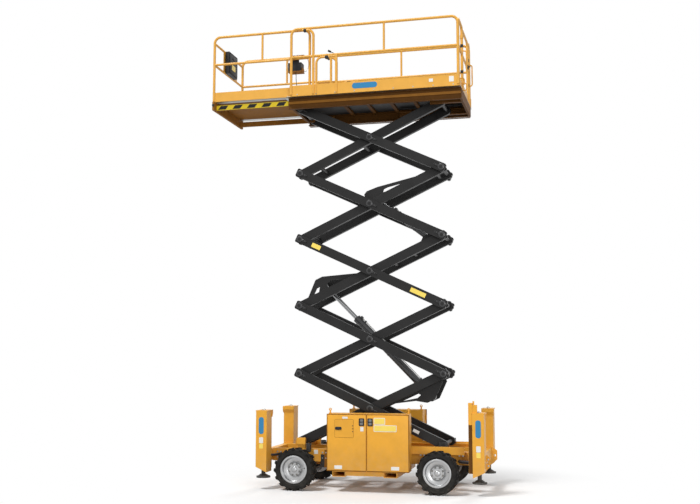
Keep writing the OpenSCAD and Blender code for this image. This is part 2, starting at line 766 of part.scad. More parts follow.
module deck_frame() {
    low = deck_z - channel_depth;
    lug_in = inner_in + 20;
    member_out = channel_out - 68;
    track_low = top_pin_z - top_slider_h / 2 - slide_gap;
    track_high = top_pin_z + top_slider_h / 2 + slide_gap;
    flange_in = top_slider_out - top_slider_w - 2;
    web_in = top_slider_out + 2;
    web_out = web_in + 10;
    track_end = deck_rear - 30;
    color("#9c6420") {
        both_sides() {
            span(-deck_front, deck_rear, channel_out - 12, channel_out, low, deck_z);
            for (z = [low, deck_z - 12]) span(-deck_front, deck_rear, channel_out - 70, channel_out, z, z + 12);
            difference() {
                union() {
                    cross_pin(-pin_x, top_pin_z, lug_in, lug_in + 42, 64);
                    span(-pin_x - 64, -pin_x + 64, lug_in, lug_in + 42, top_pin_z, deck_z - 2);
                }
                cross_pin(-pin_x, top_pin_z, lug_in - 1, lug_in + 43, pin_r + pin_clear);
            }
            span(top_track_front, track_end, web_in, web_out, top_pin_z - 10, deck_z - member_depth + 5);
            span(top_track_front, track_end, flange_in, web_out, track_high, track_high + 14);
            span(pin_x - 180, track_end, web_in, web_out, track_low - 14, top_pin_z);
            span(pin_x - 180, track_end, flange_in, web_out, track_low - 14, track_low);
        }
        span(deck_rear - 40, deck_rear, -channel_out, channel_out, low, deck_z);
        span(-deck_front, -deck_front + 48, -beam_in + 13, beam_in - 13, low + 40, deck_z);
        span(-pin_x - 64, -pin_x + 64, -member_out, member_out, deck_z - member_depth, deck_z);
        for (i = [0, 2, 3, 4, 5, 6, 7]) {
            x = -deck_front + i * (deck_rear + deck_front - 90) / 7;
            span(x, x + 60, -member_out, member_out, deck_z - member_depth, deck_z);
        }
    }
}

module deck_plate() {
    color("#a9aaab") span(-deck_front, deck_rear, -guard_y + 4, guard_y - 4, deck_z, deck_z + deck_t);
}

front_loop_x = -deck_front + 88;
loop_w = 400;
low_loop_x = -deck_front + 540;
low_loop_w = 360;
side_post_x = deck_rear - 1300;

module side_rail(s) {
    y = guard_y;
    floor_z = deck_z + deck_t;
    mid = guard_mid;
    color(yellow) mirror([0, s < 0 ? 1 : 0, 0]) {
        span(front_loop_x - 28, rear_post_x + 30, y - 4, y + 4, deck_z - 2, floor_z + toe_h);
        bent_tube([[front_loop_x, y, floor_z + 20], [front_loop_x, y, guard_top], [rear_post_x, y, guard_top],
            [rear_post_x, y, floor_z + 20]], tube_r, bend_r);
        bent_tube([[front_loop_x + loop_w, y, floor_z + 20], [front_loop_x + loop_w, y, guard_top - 30],
            [front_loop_x + loop_w - 200, y, guard_top - 30]], tube_r, bend_r);
        rod_between([front_loop_x, y, mid], [rear_post_x, y, mid], tube_r - 2);
        rod_between([side_post_x, y, mid], [side_post_x, y, guard_top], tube_r - 4);
        bent_tube([[low_loop_x, y, floor_z + 20], [low_loop_x, y, mid - 30],
            [low_loop_x + low_loop_w, y, mid - 30]], tube_r - 4, bend_r);
        rod_between([low_loop_x + low_loop_w, y, floor_z + 20], [low_loop_x + low_loop_w, y, mid], tube_r);
    }
}

module rear_rail() {
    x = rear_post_x;
    floor_z = deck_z + deck_t;
    near = guard_y - 46;
    color(yellow) {
        span(x - 4, x + 4, -near, gate_from - 30, floor_z, floor_z + toe_h);
        span(x - 4, x + 4, gate_to + 30, near, floor_z, floor_z + toe_h);
        for (side = [[-near, gate_from - 30], [gate_to + 30, near]]) {
            bent_tube([[x, side[0], floor_z], [x, side[0], guard_top - 20], [x, side[1], guard_top - 20],
                [x, side[1], floor_z]], tube_r, 70);
            rod_between([x, side[0], guard_mid], [x, side[1], guard_mid], tube_r - 3);
        }
        rear_handles();
    }
}

// Grab handles beside the gate and entry hoops at the deck's rear edge
module rear_handles() {
    for (y = [gate_from - 30, gate_to + 30])
        bent_tube([[rear_post_x, y, guard_mid + 60], [rear_post_x + 80, y, guard_mid + 60],
            [rear_post_x + 80, y, guard_mid - 330], [rear_post_x, y, guard_mid - 330]], 12, 40);
    for (y = [-guard_y + 130, gate_from - 120])
        bent_tube([[rear_post_x, y, deck_z + deck_t + 20], [rear_post_x + 86, y, deck_z + deck_t + 20],
            [rear_post_x + 86, y, deck_z + deck_t + 150], [rear_post_x, y, deck_z + deck_t + 150]], 10, 36);
}

module gate() {
    x = rear_post_x;
    floor_z = deck_z + deck_t + 30;
    y0 = gate_from + 20;
    y1 = gate_to - 20;
    color(yellow) {
        span(x - 4, x + 4, y0, y1, floor_z, floor_z + toe_h - 30);
        bent_tube([[x, y0, floor_z], [x, y0, guard_top - 40], [x, y1, guard_top - 40], [x, y1, floor_z]],
            tube_r - 3, 70);
        rod_between([x, y0, guard_mid], [x, y1, guard_mid], tube_r - 4);
        for (z = SLEEVE_Z) difference() {
            union() {
                translate([x, hinge_line, z]) cylinder(h = sleeve_h, r = tube_r + 8);
                span(x - 8, x + 8, hinge_line, y0, z, z + sleeve_h);
            }
            translate([x, hinge_line, z - 1]) cylinder(h = sleeve_h + 2, r = tube_r + pin_clear);
        }
    }
}

// Roll-out deck

module roll_frame() {
    z0 = beam_top - beam_depth;
    color(yellow) {
        both_sides() {
            span(-roll_front, -roll_beam_rear, beam_in, beam_out, z0, beam_top);
            span(-roll_front, -roll_front + 40, beam_in, roll_y + 20, z0 - 14, roll_floor);
        }
        span(-roll_front, -roll_front + 40, -beam_out, beam_out, z0 - 14, roll_floor);
    }
}

module roll_deck() {
    color("#a9aaab") {
        span(-roll_front + 8, -roll_rear, -roll_y + 4, roll_y - 4, roll_floor, roll_floor + deck_t);
        span(-roll_rear - 70, -roll_rear, -roll_y + 30, roll_y - 30, deck_z + deck_t + slide_gap, roll_floor);
    }
}

module roll_rails() {
    floor_z = roll_floor;
    foot_z = roll_floor + deck_t;
    x0 = -roll_front + 24;
    x1 = -roll_rail_rear;
    color(yellow) {
        both_sides() {
            span(-roll_front, -roll_rear, roll_y - 4, roll_y + 4, floor_z, floor_z + toe_h - 14);
            bent_tube([[x0, roll_y, foot_z], [x0, roll_y, guard_top], [x1, roll_y, guard_top],
                [x1, roll_y, foot_z]], tube_r, bend_r);
            rod_between([x0, roll_y, guard_mid], [x1, roll_y, guard_mid], tube_r - 3);
            rod_between([roll_post_x, roll_y, guard_mid], [roll_post_x, roll_y, guard_top], tube_r - 4);
        }
        for (z = [guard_mid, guard_top - bend_r]) rod_between([x0, -roll_y, z], [x0, roll_y, z], tube_r - 3);
        span(-roll_front, -roll_front + 8, -roll_y, roll_y, floor_z, floor_z + toe_h - 14);
    }
}

// The control box hangs under the middle rail on a hooked plate
module control_box() {
    x = -roll_front + 1400;
    y = -roll_y + tube_r - 3 + slide_gap;
    top = guard_mid - 60;
    color("#33363a") {
        span(x + 40, x + 200, -roll_y - 26, y + 6, guard_mid + tube_r - 3 + slide_gap, guard_mid + tube_r + 4);
        span(x + 40, x + 200, y, y + 6, top - 20, guard_mid + tube_r + 4);
        span(x, x + 240, y, y + 160, top - 150, top);
        translate([x + 70, y + 90, top - 1]) cylinder(h = 70, r1 = 26, r2 = 12);
    }
}

module manual_box() {
    x = -roll_front + 24 + tube_r - 3 + slide_gap;
    color("#33363a") span(x, x + 70, -230, 190, guard_mid - 10, guard_top - bend_r + 10);
}

// Nodes

function is_node(name) = node == "all" || node == name;

if (is_node("chassis_frame")) chassis_frame();
if (is_node("front_legs")) leg_pair(-1);
if (is_node("rear_legs")) leg_pair(1);
if (is_node("front_axle")) front_axle();
if (is_node("rear_axle")) rear_axle();
if (is_node("knuckle_left")) knuckle(-1);
if (is_node("knuckle_right")) knuckle(1);
if (is_node("steer_cylinder")) steer_cylinder();
if (is_node("steer_rod")) steer_rod();
if (is_node("fork_pocket_front")) fork_pocket(-1);
if (is_node("fork_pocket_rear")) fork_pocket(1);
if (is_node("cabinet_left")) cabinet(-1);
if (is_node("cabinet_right")) cabinet(1);
if (is_node("battery_pack")) battery_pack();
if (is_node("hydraulic_unit")) hydraulic_unit();
for (e = [0, 1], s = [0, 1]) {
    place = str("_", END_NAMES[e], "_", SIDE_NAMES[s]);
    if (is_node(str("tyre", place))) tyre(ENDS[e], SIDES[s]);
    if (is_node(str("rim", place))) rim(ENDS[e], SIDES[s]);
    if (is_node(str("jack", place))) jack(ENDS[e], SIDES[s]);
    if (is_node(str("door_", SIDE_NAMES[s], "_", END_NAMES[e]))) door(SIDES[s], ENDS[e]);
}
for (stage = [1:STAGES]) {
    if (is_node(str("inner_arms_", stage))) inner_arms(stage);
    if (is_node(str("outer_arms_", stage))) outer_arms(stage);
}
if (is_node("base_sliders")) base_sliders();
if (is_node("top_sliders")) top_sliders();
if (is_node("lower_barrel")) lower_barrel();
if (is_node("lower_rod")) lower_rod();
if (is_node("upper_barrel")) upper_barrel();
if (is_node("upper_rod")) upper_rod();
if (is_node("deck_frame")) deck_frame();
if (is_node("deck_plate")) deck_plate();
if (is_node("side_rail_left")) side_rail(-1);
if (is_node("side_rail_right")) side_rail(1);
if (is_node("rear_rail")) rear_rail();
if (is_node("gate")) gate();
if (is_node("roll_frame")) roll_frame();
if (is_node("roll_deck")) roll_deck();
if (is_node("roll_rails")) roll_rails();
if (is_node("control_box")) control_box();
if (is_node("manual_box")) manual_box();
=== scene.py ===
"""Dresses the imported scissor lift: finishes on every solid, and the fittings that the solids leave out."""

import functools
import json
import logging
import math
from dataclasses import dataclass
from enum import Enum
from fnmatch import fnmatchcase
from typing import Callable, Iterable, Sequence

import bmesh
import bpy
from mathutils import Matrix, Vector


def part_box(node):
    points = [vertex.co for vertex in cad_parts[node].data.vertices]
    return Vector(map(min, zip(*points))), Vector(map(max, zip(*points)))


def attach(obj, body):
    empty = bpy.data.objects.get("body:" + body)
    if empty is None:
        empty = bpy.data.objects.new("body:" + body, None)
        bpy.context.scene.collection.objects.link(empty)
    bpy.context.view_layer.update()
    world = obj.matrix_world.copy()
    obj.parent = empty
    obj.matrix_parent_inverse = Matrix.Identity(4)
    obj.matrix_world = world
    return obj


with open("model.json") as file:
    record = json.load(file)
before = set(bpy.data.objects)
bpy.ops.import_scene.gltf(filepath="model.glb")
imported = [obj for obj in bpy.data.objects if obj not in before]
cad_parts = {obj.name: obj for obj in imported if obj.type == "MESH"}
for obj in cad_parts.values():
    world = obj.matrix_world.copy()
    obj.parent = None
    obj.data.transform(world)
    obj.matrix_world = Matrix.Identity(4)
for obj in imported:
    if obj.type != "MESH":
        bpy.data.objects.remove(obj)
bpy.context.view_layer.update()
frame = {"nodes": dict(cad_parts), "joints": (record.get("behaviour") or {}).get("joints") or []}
LOG = logging.getLogger("scissor_lift")

Point = Sequence[float]
Depth = Callable[[float, float], tuple[float, float]]
Tree = bpy.types.NodeTree
Node = bpy.types.Node

# Names and signs: the left side lies at -Y, and the front at -X
SIDES = (("left", -1), ("right", 1))
ENDS = (("front", -1), ("rear", 1))

# Socket types and values of the shader nodes
COLOR, FLOAT = "NodeSocketColor", "NodeSocketFloat"
GREY, WHITE = (0.5, 0.5, 0.5, 1), (1, 1, 1, 1)
BEVEL_SAMPLES = 4
EDGE_RADIUS = 0.004
COAT_ROUGHNESS = 0.12
TREAD_HEIGHT = 0.002

# Edges under this angle are shaded smooth; thickness of a film and of a blank label
SMOOTH_UNDER = math.radians(35.0)
FILM, LABEL_DEPTH = 0.0006, 0.0014


class Coat(Enum):
    """The kinds of surface that a finish can have."""

    PAINT = "paint"
    METAL = "metal"
    RUBBER = "rubber"
    PLASTIC = "plastic"


# Shared shader node groups


def new_group(name: str, inputs: Iterable[tuple[str, str, object]], outputs: Iterable[tuple[str, str]]):
    """Makes an empty shader node group with named sockets.

    Args:
        name: the group's name.
        inputs: socket name, socket type and default value of each input.
        outputs: socket name and socket type of each output.

    Returns:
        The group, its input node and its output node.
    """
    group = bpy.data.node_groups.new(name, "ShaderNodeTree")
    for label, kind, value in inputs:
        group.interface.new_socket(label, in_out="INPUT", socket_type=kind).default_value = value
    for label, kind in outputs:
        group.interface.new_socket(label, in_out="OUTPUT", socket_type=kind)
    return group, group.nodes.new("NodeGroupInput"), group.nodes.new("NodeGroupOutput")


def add_node(tree: Tree, kind: str, settings: dict | None = None, values: dict | None = None) -> Node:
    """Adds a shader node to a tree and sets its properties and unlinked inputs.

    Args:
        tree: the node tree.
        kind: the node's type name without its first part, ShaderNode.
        settings: properties by name.
        values: input values by socket name or number.

    Returns:
        The new node.
    """
    node = tree.nodes.new(f"ShaderNode{kind}")
    for key, value in (settings or {}).items():
        setattr(node, key, value)
    for key, value in (values or {}).items():
        node.inputs[key].default_value = value
    return node


def wire(tree: Tree, *links: tuple[Node, str | int, Node, str | int]) -> None:
    """Links nodes of a tree.

    Args:
        tree: the node tree.
        links: a node, its output, the next node and that node's input, for each link.
    """
    for source, output, target, socket in links:
        tree.links.new(source.outputs[output], target.inputs[socket])


def mottle_group() -> Tree:
    """Returns the group that varies a colour in soft clouds and gives a roughness that follows them."""
    group, start, end = new_group(
        "surface_mottle",
        [("Color", COLOR, GREY), ("Scale", FLOAT, 5.0), ("Amount", FLOAT, 0.1), ("Roughness", FLOAT, 0.5)],
        [("Color", COLOR), ("Roughness", FLOAT), ("Height", FLOAT)],
    )
    coords = add_node(group, "TexCoord")
    cloud = add_node(group, "TexNoise", values={"Detail": 4.0, "Roughness": 0.6})
    fine = add_node(group, "TexNoise", values={"Scale": 420.0, "Detail": 2.0})
    level = add_node(group, "MapRange", values={"From Min": 0.3, "From Max": 0.7, "To Min": -1.0, "To Max": 1.0})
    push = add_node(group, "Math", {"operation": "MULTIPLY"})
    bright = add_node(group, "Math", {"operation": "ADD"}, {1: 1.0})
    hue = add_node(group, "HueSaturation")
    rough = add_node(group, "Math", {"operation": "MULTIPLY_ADD"}, {1: 0.5})
    wire(
        group,
        (coords, "Object", cloud, "Vector"), (coords, "Object", fine, "Vector"),
        (start, "Scale", cloud, "Scale"), (cloud, "Fac", level, "Value"), (level, "Result", push, 0),
        (start, "Amount", push, 1), (push, 0, bright, 0), (bright, 0, hue, "Value"),
        (start, "Color", hue, "Color"), (push, 0, rough, 0), (start, "Roughness", rough, 2),
        (hue, "Color", end, "Color"), (rough, 0, end, "Roughness"), (fine, "Fac", end, "Height"),
    )
    return group


def patchy_group(
    name: str, laid: tuple[str, Point], amount: float, extra: tuple[str, float], noise: Point, patch: Point
) -> tuple[Tree, Node, Node]:
    """Makes a group that lays a second colour over a colour in broken patches.

    Args:
        name: the group's name.
        laid: the name and default of the input for the second colour.
        amount: the default of the input for its amount.
        extra: the name and default of the group's own input.
        noise: detail and roughness of the noise that breaks it up.
        patch: the noise levels where a patch starts and where it is full.

    Returns:
        The group, its input node and the node whose first input takes the share to cover.
    """
    group, start, end = new_group(
        name,
        [("Color", COLOR, GREY), (laid[0], COLOR, laid[1]), ("Amount", FLOAT, amount), (extra[0], FLOAT, extra[1])],
        [("Color", COLOR)],
    )
    coords = add_node(group, "TexCoord")
    cloud = add_node(group, "TexNoise", values={"Scale": 9.0, "Detail": noise[0], "Roughness": noise[1]})
    spots = add_node(group, "MapRange", values={"From Min": patch[0], "From Max": patch[1]})
    share = add_node(group, "Math", {"operation": "MULTIPLY"})
    mask = add_node(group, "Math", {"operation": "MULTIPLY", "use_clamp": True})
    mix = add_node(group, "Mix", {"data_type": "RGBA"})
    wire(
        group,
        (coords, "Object", cloud, "Vector"), (cloud, "Fac", spots, "Value"), (spots, "Result", share, 1),
        (share, 0, mask, 0), (start, "Amount", mask, 1), (mask, 0, mix, "Factor"), (start, "Color", mix, "A"),
        (start, laid[0], mix, "B"), (mix, "Result", end, "Color"),
    )
    return group, start, share


def wear_group() -> Tree:
    """Returns the group that rubs a colour through along edges, in broken patches; a colour lighter than the paint also
    paints a highlight along the edges.
    """
    group, start, share = patchy_group(
        "edge_wear", ("Worn Color", (0.3, 0.3, 0.3, 1)), 0.4, ("Width", 0.006), (5.0, 0.6), (0.42, 0.62)
    )
    geometry = add_node(group, "NewGeometry")
    bevel = add_node(group, "Bevel", {"samples": BEVEL_SAMPLES})
    dot = add_node(group, "VectorMath", {"operation": "DOT_PRODUCT"})
    edge = add_node(group, "MapRange", values={"From Min": 0.94, "From Max": 0.74})
    wire(
        group,
        (start, "Width", bevel, "Radius"), (bevel, "Normal", dot, 0), (geometry, "Normal", dot, 1),
        (dot, "Value", edge, "Value"), (edge, "Result", share, 0),
    )
    return group


def dust_group() -> Tree:
    """Returns the group that lays road dust over a colour, thickest near the ground."""
    group, start, share = patchy_group(
        "road_dust", ("Dust Color", (0.5, 0.45, 0.38, 1)), 0.3, ("Height", 0.8), (6.0, 0.65), (0.35, 0.7)
    )
    coords = add_node(group, "TexCoord")
    axes = add_node(group, "SeparateXYZ")
    fall = add_node(group, "MapRange", values={"From Min": 0.0, "To Min": 1.0, "To Max": 0.0})
    wire(
        group,
        (coords, "Object", axes, "Vector"), (axes, "Z", fall, "Value"), (start, "Height", fall, "From Max"),
        (fall, "Result", share, 0),
    )
    return group


def tread_group() -> Tree:
    """Returns the group that raises the short crossed bars of tread plate as a height."""
    group, start, end = new_group("tread_plate", [("Pitch", FLOAT, 0.04)], [("Height", FLOAT)])
    coords = add_node(group, "TexCoord")
    scale = add_node(group, "VectorMath", {"operation": "DIVIDE"})
    joined = add_node(group, "CombineXYZ")
    most = add_node(group, "Math", {"operation": "MAXIMUM"})
    wire(group, *((start, "Pitch", joined, axis) for axis in range(3)))
    wire(group, (coords, "Object", scale, 0), (joined, "Vector", scale, 1), (most, 0, end, "Height"))
    for number, (turn, shift) in enumerate(((45.0, 0.0), (-45.0, 0.5))):
        placed = {"Rotation": (0, 0, math.radians(turn)), "Location": (shift, 0, 0), "Scale": (1.0, 0.7, 0.0)}
        place = add_node(group, "Mapping", values=placed)
        spots = add_node(group, "TexVoronoi", {"feature": "F1"}, {"Randomness": 0.0, "Scale": 1.0})
        top = add_node(group, "MapRange", values={"From Min": 0.3, "From Max": 0.2})
        wire(
            group,
            (scale, "Vector", place, "Vector"), (place, "Vector", spots, "Vector"),
            (spots, "Distance", top, "Value"), (top, "Result", most, number),
        )
    return group


GROUPS = {"mottle": mottle_group(), "wear": wear_group(), "dust": dust_group(), "tread": tread_group()}


@dataclass(frozen=True)
class Finish:
    """One surface finish and the procedural material that shows it."""

    name: str
    slot: str
    color: tuple[float, float, float]
    coat: Coat = Coat.PAINT
    rough: float = 0.4
    mottle: float = 0.06
    wear: float = 0.0
    worn_and_highlight: tuple[float, float, float] = (0.22, 0.2, 0.18)
    dust: float = 0.0
    grain: float = 0.0004
    clear_coat: float = 0.0
    specular: float = 0.5
    tread: float = 0.0

    @functools.cache
    def material(self) -> bpy.types.Material:
        """Returns this finish's material, and builds it the first time."""
        made = bpy.data.materials.new(self.name)
        made.use_nodes = True
        tree = made.node_tree
        shader = tree.nodes["Principled BSDF"]
        shader.inputs["Metallic"].default_value = 1.0 if self.coat is Coat.METAL else 0.0
        shader.inputs["Specular IOR Level"].default_value = self.specular
        if self.clear_coat:
            shader.inputs["Coat Weight"].default_value = self.clear_coat
            shader.inputs["Coat Roughness"].default_value = COAT_ROUGHNESS
        base = {"Color": (*self.color, 1), "Amount": self.mottle, "Roughness": self.rough}
        mottle = last = self._place(tree, "mottle", base)
        for group, values in (
            ("wear", {"Amount": self.wear, "Worn Color": (*self.worn_and_highlight, 1)}),
            ("dust", {"Amount": self.dust}),
        ):
            if values["Amount"]:
                layer = self._place(tree, group, values)
                wire(tree, (last, "Color", layer, "Color"))
                last = layer
        wire(tree, (last, "Color", shader, "Base Color"), (mottle, "Roughness", shader, "Roughness"))
        self._relief(tree, shader, mottle)
        return made

    @staticmethod
    def _place(tree: Tree, group: str, values: dict) -> Node:
        """Returns a new node that places a shared group in a material with its own values."""
        return add_node(tree, "Group", {"node_tree": GROUPS[group]}, values)

    def _relief(self, tree: Tree, shader: Node, mottle: Node) -> None:
        """Feeds the shader's normal: softened edges, the grain and any tread bars.

        Args:
            tree: the material's node tree.
            shader: its surface shader.
            mottle: the placed group that gives the grain's height.
        """
        last = add_node(tree, "Bump", values={"Strength": 0.5, "Distance": self.grain})
        edge = add_node(tree, "Bevel", {"samples": BEVEL_SAMPLES}, {"Radius": EDGE_RADIUS})
        wire(tree, (mottle, "Height", last, "Height"), (edge, "Normal", last, "Normal"))
        if self.tread:
            bars = self._place(tree, "tread", {"Pitch": self.tread})
            raised = add_node(tree, "Bump", values={"Strength": 0.8, "Distance": TREAD_HEIGHT})
            wire(tree, (bars, "Height", raised, "Height"), (last, "Normal", raised, "Normal"))
            last = raised
        wire(tree, (last, "Normal", shader, "Normal"))


YELLOW = Finish("rail_yellow_paint", "yellow_paint", (0.76, 0.39, 0.062), wear=0.12, specular=0.4)
BASE_YELLOW = Finish(
    "chassis_yellow_paint", "yellow_paint", (0.8, 0.385, 0.036), rough=0.42, wear=0.3, dust=0.3, specular=0.4
)
# A darker copy of the chassis yellow: painted shade on the axles deep in the chassis
FRAME_SHADE_YELLOW = Finish(
    "frame_yellow_painted_shade", "yellow_paint", (0.58, 0.27, 0.028), rough=0.45, mottle=0.1, wear=0.3, dust=0.3, specular=0.3
)
# Yellow paint darkened to brown: painted shade, for yellow parts and strips that lie in shade, under the decks and
# round the doors
SHADE_YELLOW = Finish(
    "yellow_painted_half_shade", "yellow_paint", (0.3, 0.128, 0.022), rough=0.6, mottle=0.12, wear=0.3, specular=0.1
)
# Yellow paint darkened further: painted deep shade, for the deck's side channels and the strip on the rear leg
SHADED = Finish(
    "deck_channel_painted_shade", "yellow_paint", (0.12, 0.049, 0.01), rough=0.6, mottle=0.12, wear=0.2, specular=0.1
)
# Its worn colour is lighter than the paint: along the arms' edges it shows as wear and also paints the highlight there
CHARCOAL = Finish(
    "arm_charcoal_paint", "charcoal_paint", (0.0145, 0.0142, 0.0142), rough=0.42, mottle=0.12,
    wear=0.2, worn_and_highlight=(0.05, 0.048, 0.046), specular=0.25,
)
BARREL = Finish("cylinder_barrel_paint", "charcoal_paint", (0.04, 0.041, 0.043), rough=0.28, mottle=0.08)
PIN = Finish("pin_cap_paint", "charcoal_paint", (0.032, 0.032, 0.033), rough=0.3, mottle=0.1)
RUBBER = Finish(
    "tyre_rubber", "tyre", (0.0075, 0.0072, 0.0068), Coat.RUBBER, rough=0.75, mottle=0.2,
    dust=0.1, grain=0.0012, specular=0.18,
)
RIM_PAINT = Finish("rim_silver_paint", "rim", (0.43, 0.435, 0.44), Coat.METAL, rough=0.36, wear=0.2, dust=0.1)
CHROME = Finish("polished_rod", "rod_chrome", (0.34, 0.345, 0.35), Coat.METAL, rough=0.16, mottle=0.02, grain=0.0001)
STEEL = Finish("bare_steel", "steel", (0.2, 0.2, 0.195), Coat.METAL, rough=0.45, mottle=0.15, dust=0.3)
ZINC = Finish("zinc_bolt", "steel", (0.5, 0.5, 0.48), Coat.METAL, rough=0.35, mottle=0.1)
DECK = Finish("deck_tread", "deck", (0.5, 0.51, 0.5), Coat.METAL, rough=0.42, mottle=0.1, tread=0.045)
BLACK = Finish(
    "black_moulding", "black_plastic", (0.018, 0.019, 0.021), Coat.PLASTIC, rough=0.5, mottle=0.08,
    grain=0.0008, specular=0.25,
)
IRON = Finish("dark_block", "battery", (0.022, 0.022, 0.023), rough=0.55, mottle=0.12, dust=0.25, specular=0.3)
SIGN = Finish("sign_yellow", "yellow_paint", (0.9, 0.66, 0.02), rough=0.36, wear=0.2)
LABEL = Finish(
    "blank_label", "black_plastic", (0.8, 0.8, 0.77), Coat.PLASTIC, rough=0.35, mottle=0.03, grain=0.0001
)
AMBER = Finish("blank_amber_label", "yellow_paint", (0.92, 0.7, 0.13), Coat.PLASTIC, rough=0.35, mottle=0.03)
BLUE = Finish(
    "blank_blue_label", "black_plastic", (0.012, 0.2, 0.42), Coat.PLASTIC, rough=0.3, mottle=0.05, clear_coat=0.3
)
RED = Finish("red_button", "black_plastic", (0.55, 0.02, 0.015), Coat.PLASTIC, rough=0.3, mottle=0.03, clear_coat=0.4)
HOSE = Finish("hose_rubber", "black_plastic", (0.02, 0.02, 0.021), Coat.RUBBER, rough=0.6, mottle=0.1)


class Shape:
    """A mesh in the making, built from bmesh operators in the part's own frame, in metres."""

    def __init__(self) -> None:
        """Starts with an empty mesh."""
        self.bm = bmesh.new()

    def block(self, low: Point, high: Point, round_by: float = 0.0, turn: Matrix | None = None) -> "Shape":
        """Adds a box between two corners, with its edges rounded.

        Args:
            low: the lowest corner.
            high: the highest corner.
            round_by: the rounding of the edges.
            turn: a turn about the box's middle.

        Returns:
            This shape.
        """
        made = bmesh.ops.create_cube(self.bm, size=1.0)["verts"]
        bmesh.ops.scale(self.bm, vec=Vector(high) - Vector(low), verts=made)
        if round_by:
            edges = list({e for v in made for e in v.link_edges})
            cut = bmesh.ops.bevel(
                self.bm, geom=edges, offset=round_by, affect="EDGES", segments=2, profile=0.5, material=-1
            )
            made = list({v for f in cut["faces"] for v in f.verts} | {v for v in made if v.is_valid})
        place = Matrix.Translation(middle((low, high))) @ (turn.to_4x4() if turn else Matrix.Identity(4))
        bmesh.ops.transform(self.bm, matrix=place, verts=made)
        return self

    def bar(self, start: Point, end: Point, radius: float, sides: int = 16, end_radius: float | None = None) -> "Shape":
        """Adds a round, many-sided or tapered bar between two points.

        Args:
            start: the middle of one end.
            end: the middle of the other end.
            radius: the radius at the start.
            sides: the number of sides; 6 makes a hexagon.
            end_radius: the radius at the other end, if it differs.

        Returns:
            This shape.
        """
        a, b = Vector(start), Vector(end)
        place = axis_place((a + b) / 2, b - a)
        last = radius if end_radius is None else end_radius
        bmesh.ops.create_cone(
            self.bm, cap_ends=True, segments=sides, radius1=radius, radius2=last, depth=(b - a).length, matrix=place
        )
        return self

    def bolt(self, at: Point, way: Point, size: float) -> "Shape":
        """Adds a hexagon bolt head on a washer.

        Args:
            at: the middle of the seat.
            way: the direction out of the seat.
            size: the radius over the hexagon's corners.

        Returns:
            This shape.
        """
        seat, out = Vector(at), Vector(way).normalized() * size
        return self.bar(seat, seat + out * 0.22, size * 1.35, 16).bar(seat + out * 0.22, seat + out * 0.95, size, 6)

    def turned(self, profile: Sequence[Point], place: Matrix, steps: int) -> "Shape":
        """Adds a shape turned about an axis from a closed or open profile.

        Args:
            profile: radius and height of each point.
            place: where the axis Z and its zero height go.
            steps: the number of steps in a full turn.

        Returns:
            This shape.
        """
        before = set(self.bm.verts)
        points = [self.bm.verts.new((r, 0.0, z)) for r, z in profile]
        edges = [self.bm.edges.new(pair) for pair in zip(points, points[1:])]
        bmesh.ops.spin(
            self.bm, geom=points + edges, cent=(0, 0, 0), axis=(0, 0, 1), angle=math.tau, steps=steps,
            use_merge=True, use_duplicate=False,
        )
        made = [v for v in self.bm.verts if v not in before]
        bmesh.ops.remove_doubles(self.bm, verts=made, dist=1e-6)
        made = [v for v in self.bm.verts if v not in before]
        bmesh.ops.recalc_face_normals(self.bm, faces=list({f for v in made for f in v.link_faces}))
        bmesh.ops.transform(self.bm, matrix=place, verts=made)
        return self

    def plate(self, outline: Sequence[Point], y0: float, y1: float) -> "Shape":
        """Adds a flat plate from its side view.

        Args:
            outline: X and Z of each corner, in order.
            y0: where its first face lies across the machine.
            y1: where its other face lies.

        Returns:
            This shape.
        """
        corners = [self.bm.verts.new((x, y0, z)) for x, z in outline]
        grown = bmesh.ops.extrude_face_region(self.bm, geom=[self.bm.faces.new(corners)])["geom"]
        moved = [v for v in grown if isinstance(v, bmesh.types.BMVert)]
        bmesh.ops.translate(self.bm, vec=(0, y1 - y0, 0), verts=moved)
        bmesh.ops.recalc_face_normals(self.bm, faces=list({f for v in corners + moved for f in v.link_faces}))
        return self

    def card(self, edges: Point, corner: float, y0: float, y1: float) -> "Shape":
        """Adds a flat plate with rounded corners.

        Args:
            edges: its front, rear, lower and upper edge in the side view.
            corner: the radius of its corners.
            y0: where its first face lies across the machine.
            y1: where its other face lies.

        Returns:
            This shape.
        """
        x0, x1, z0, z1 = (edge + inset for edge, inset in zip(edges, (corner, -corner, corner, -corner)))
        outline = []
        for x, z, first in ((x1, z1, 0), (x0, z1, 90), (x0, z0, 180), (x1, z0, 270)):
            for angle in (math.radians(first + step * 22.5) for step in range(5)):
                outline.append((x + corner * math.cos(angle), z + corner * math.sin(angle)))
        return self.plate(outline, y0, y1)

    def finish(self, name: str, body: str, look: Finish) -> None:
        """Turns the mesh into a piece that rides on a body.

        Args:
            name: the piece's name.
            body: the body that it moves with.
            look: its finish.
        """
        for edge in self.bm.edges:
            edge.smooth = len(edge.link_faces) == 2 and edge.calc_face_angle(0.0) < SMOOTH_UNDER
        for face in self.bm.faces:
            face.smooth = True
        mesh = bpy.data.meshes.new(name)
        self.bm.to_mesh(mesh)
        self.bm.free()
        add_piece(name, mesh, body, look)


def add_piece(name: str, mesh: bpy.types.Mesh, body: str, look: Finish) -> None:
    """Puts a mesh in the scene as a piece that rides on a body.

    Args:
        name: the piece's name.
        mesh: its mesh.
        body: the body that it moves with.
        look: its finish.
    """
    mesh.materials.append(look.material())
    piece = bpy.data.objects.new(name, mesh)
    bpy.context.scene.collection.objects.link(piece)
    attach(piece, body)
    LOG.info("%s on %s: %d faces", name, body, len(mesh.polygons))


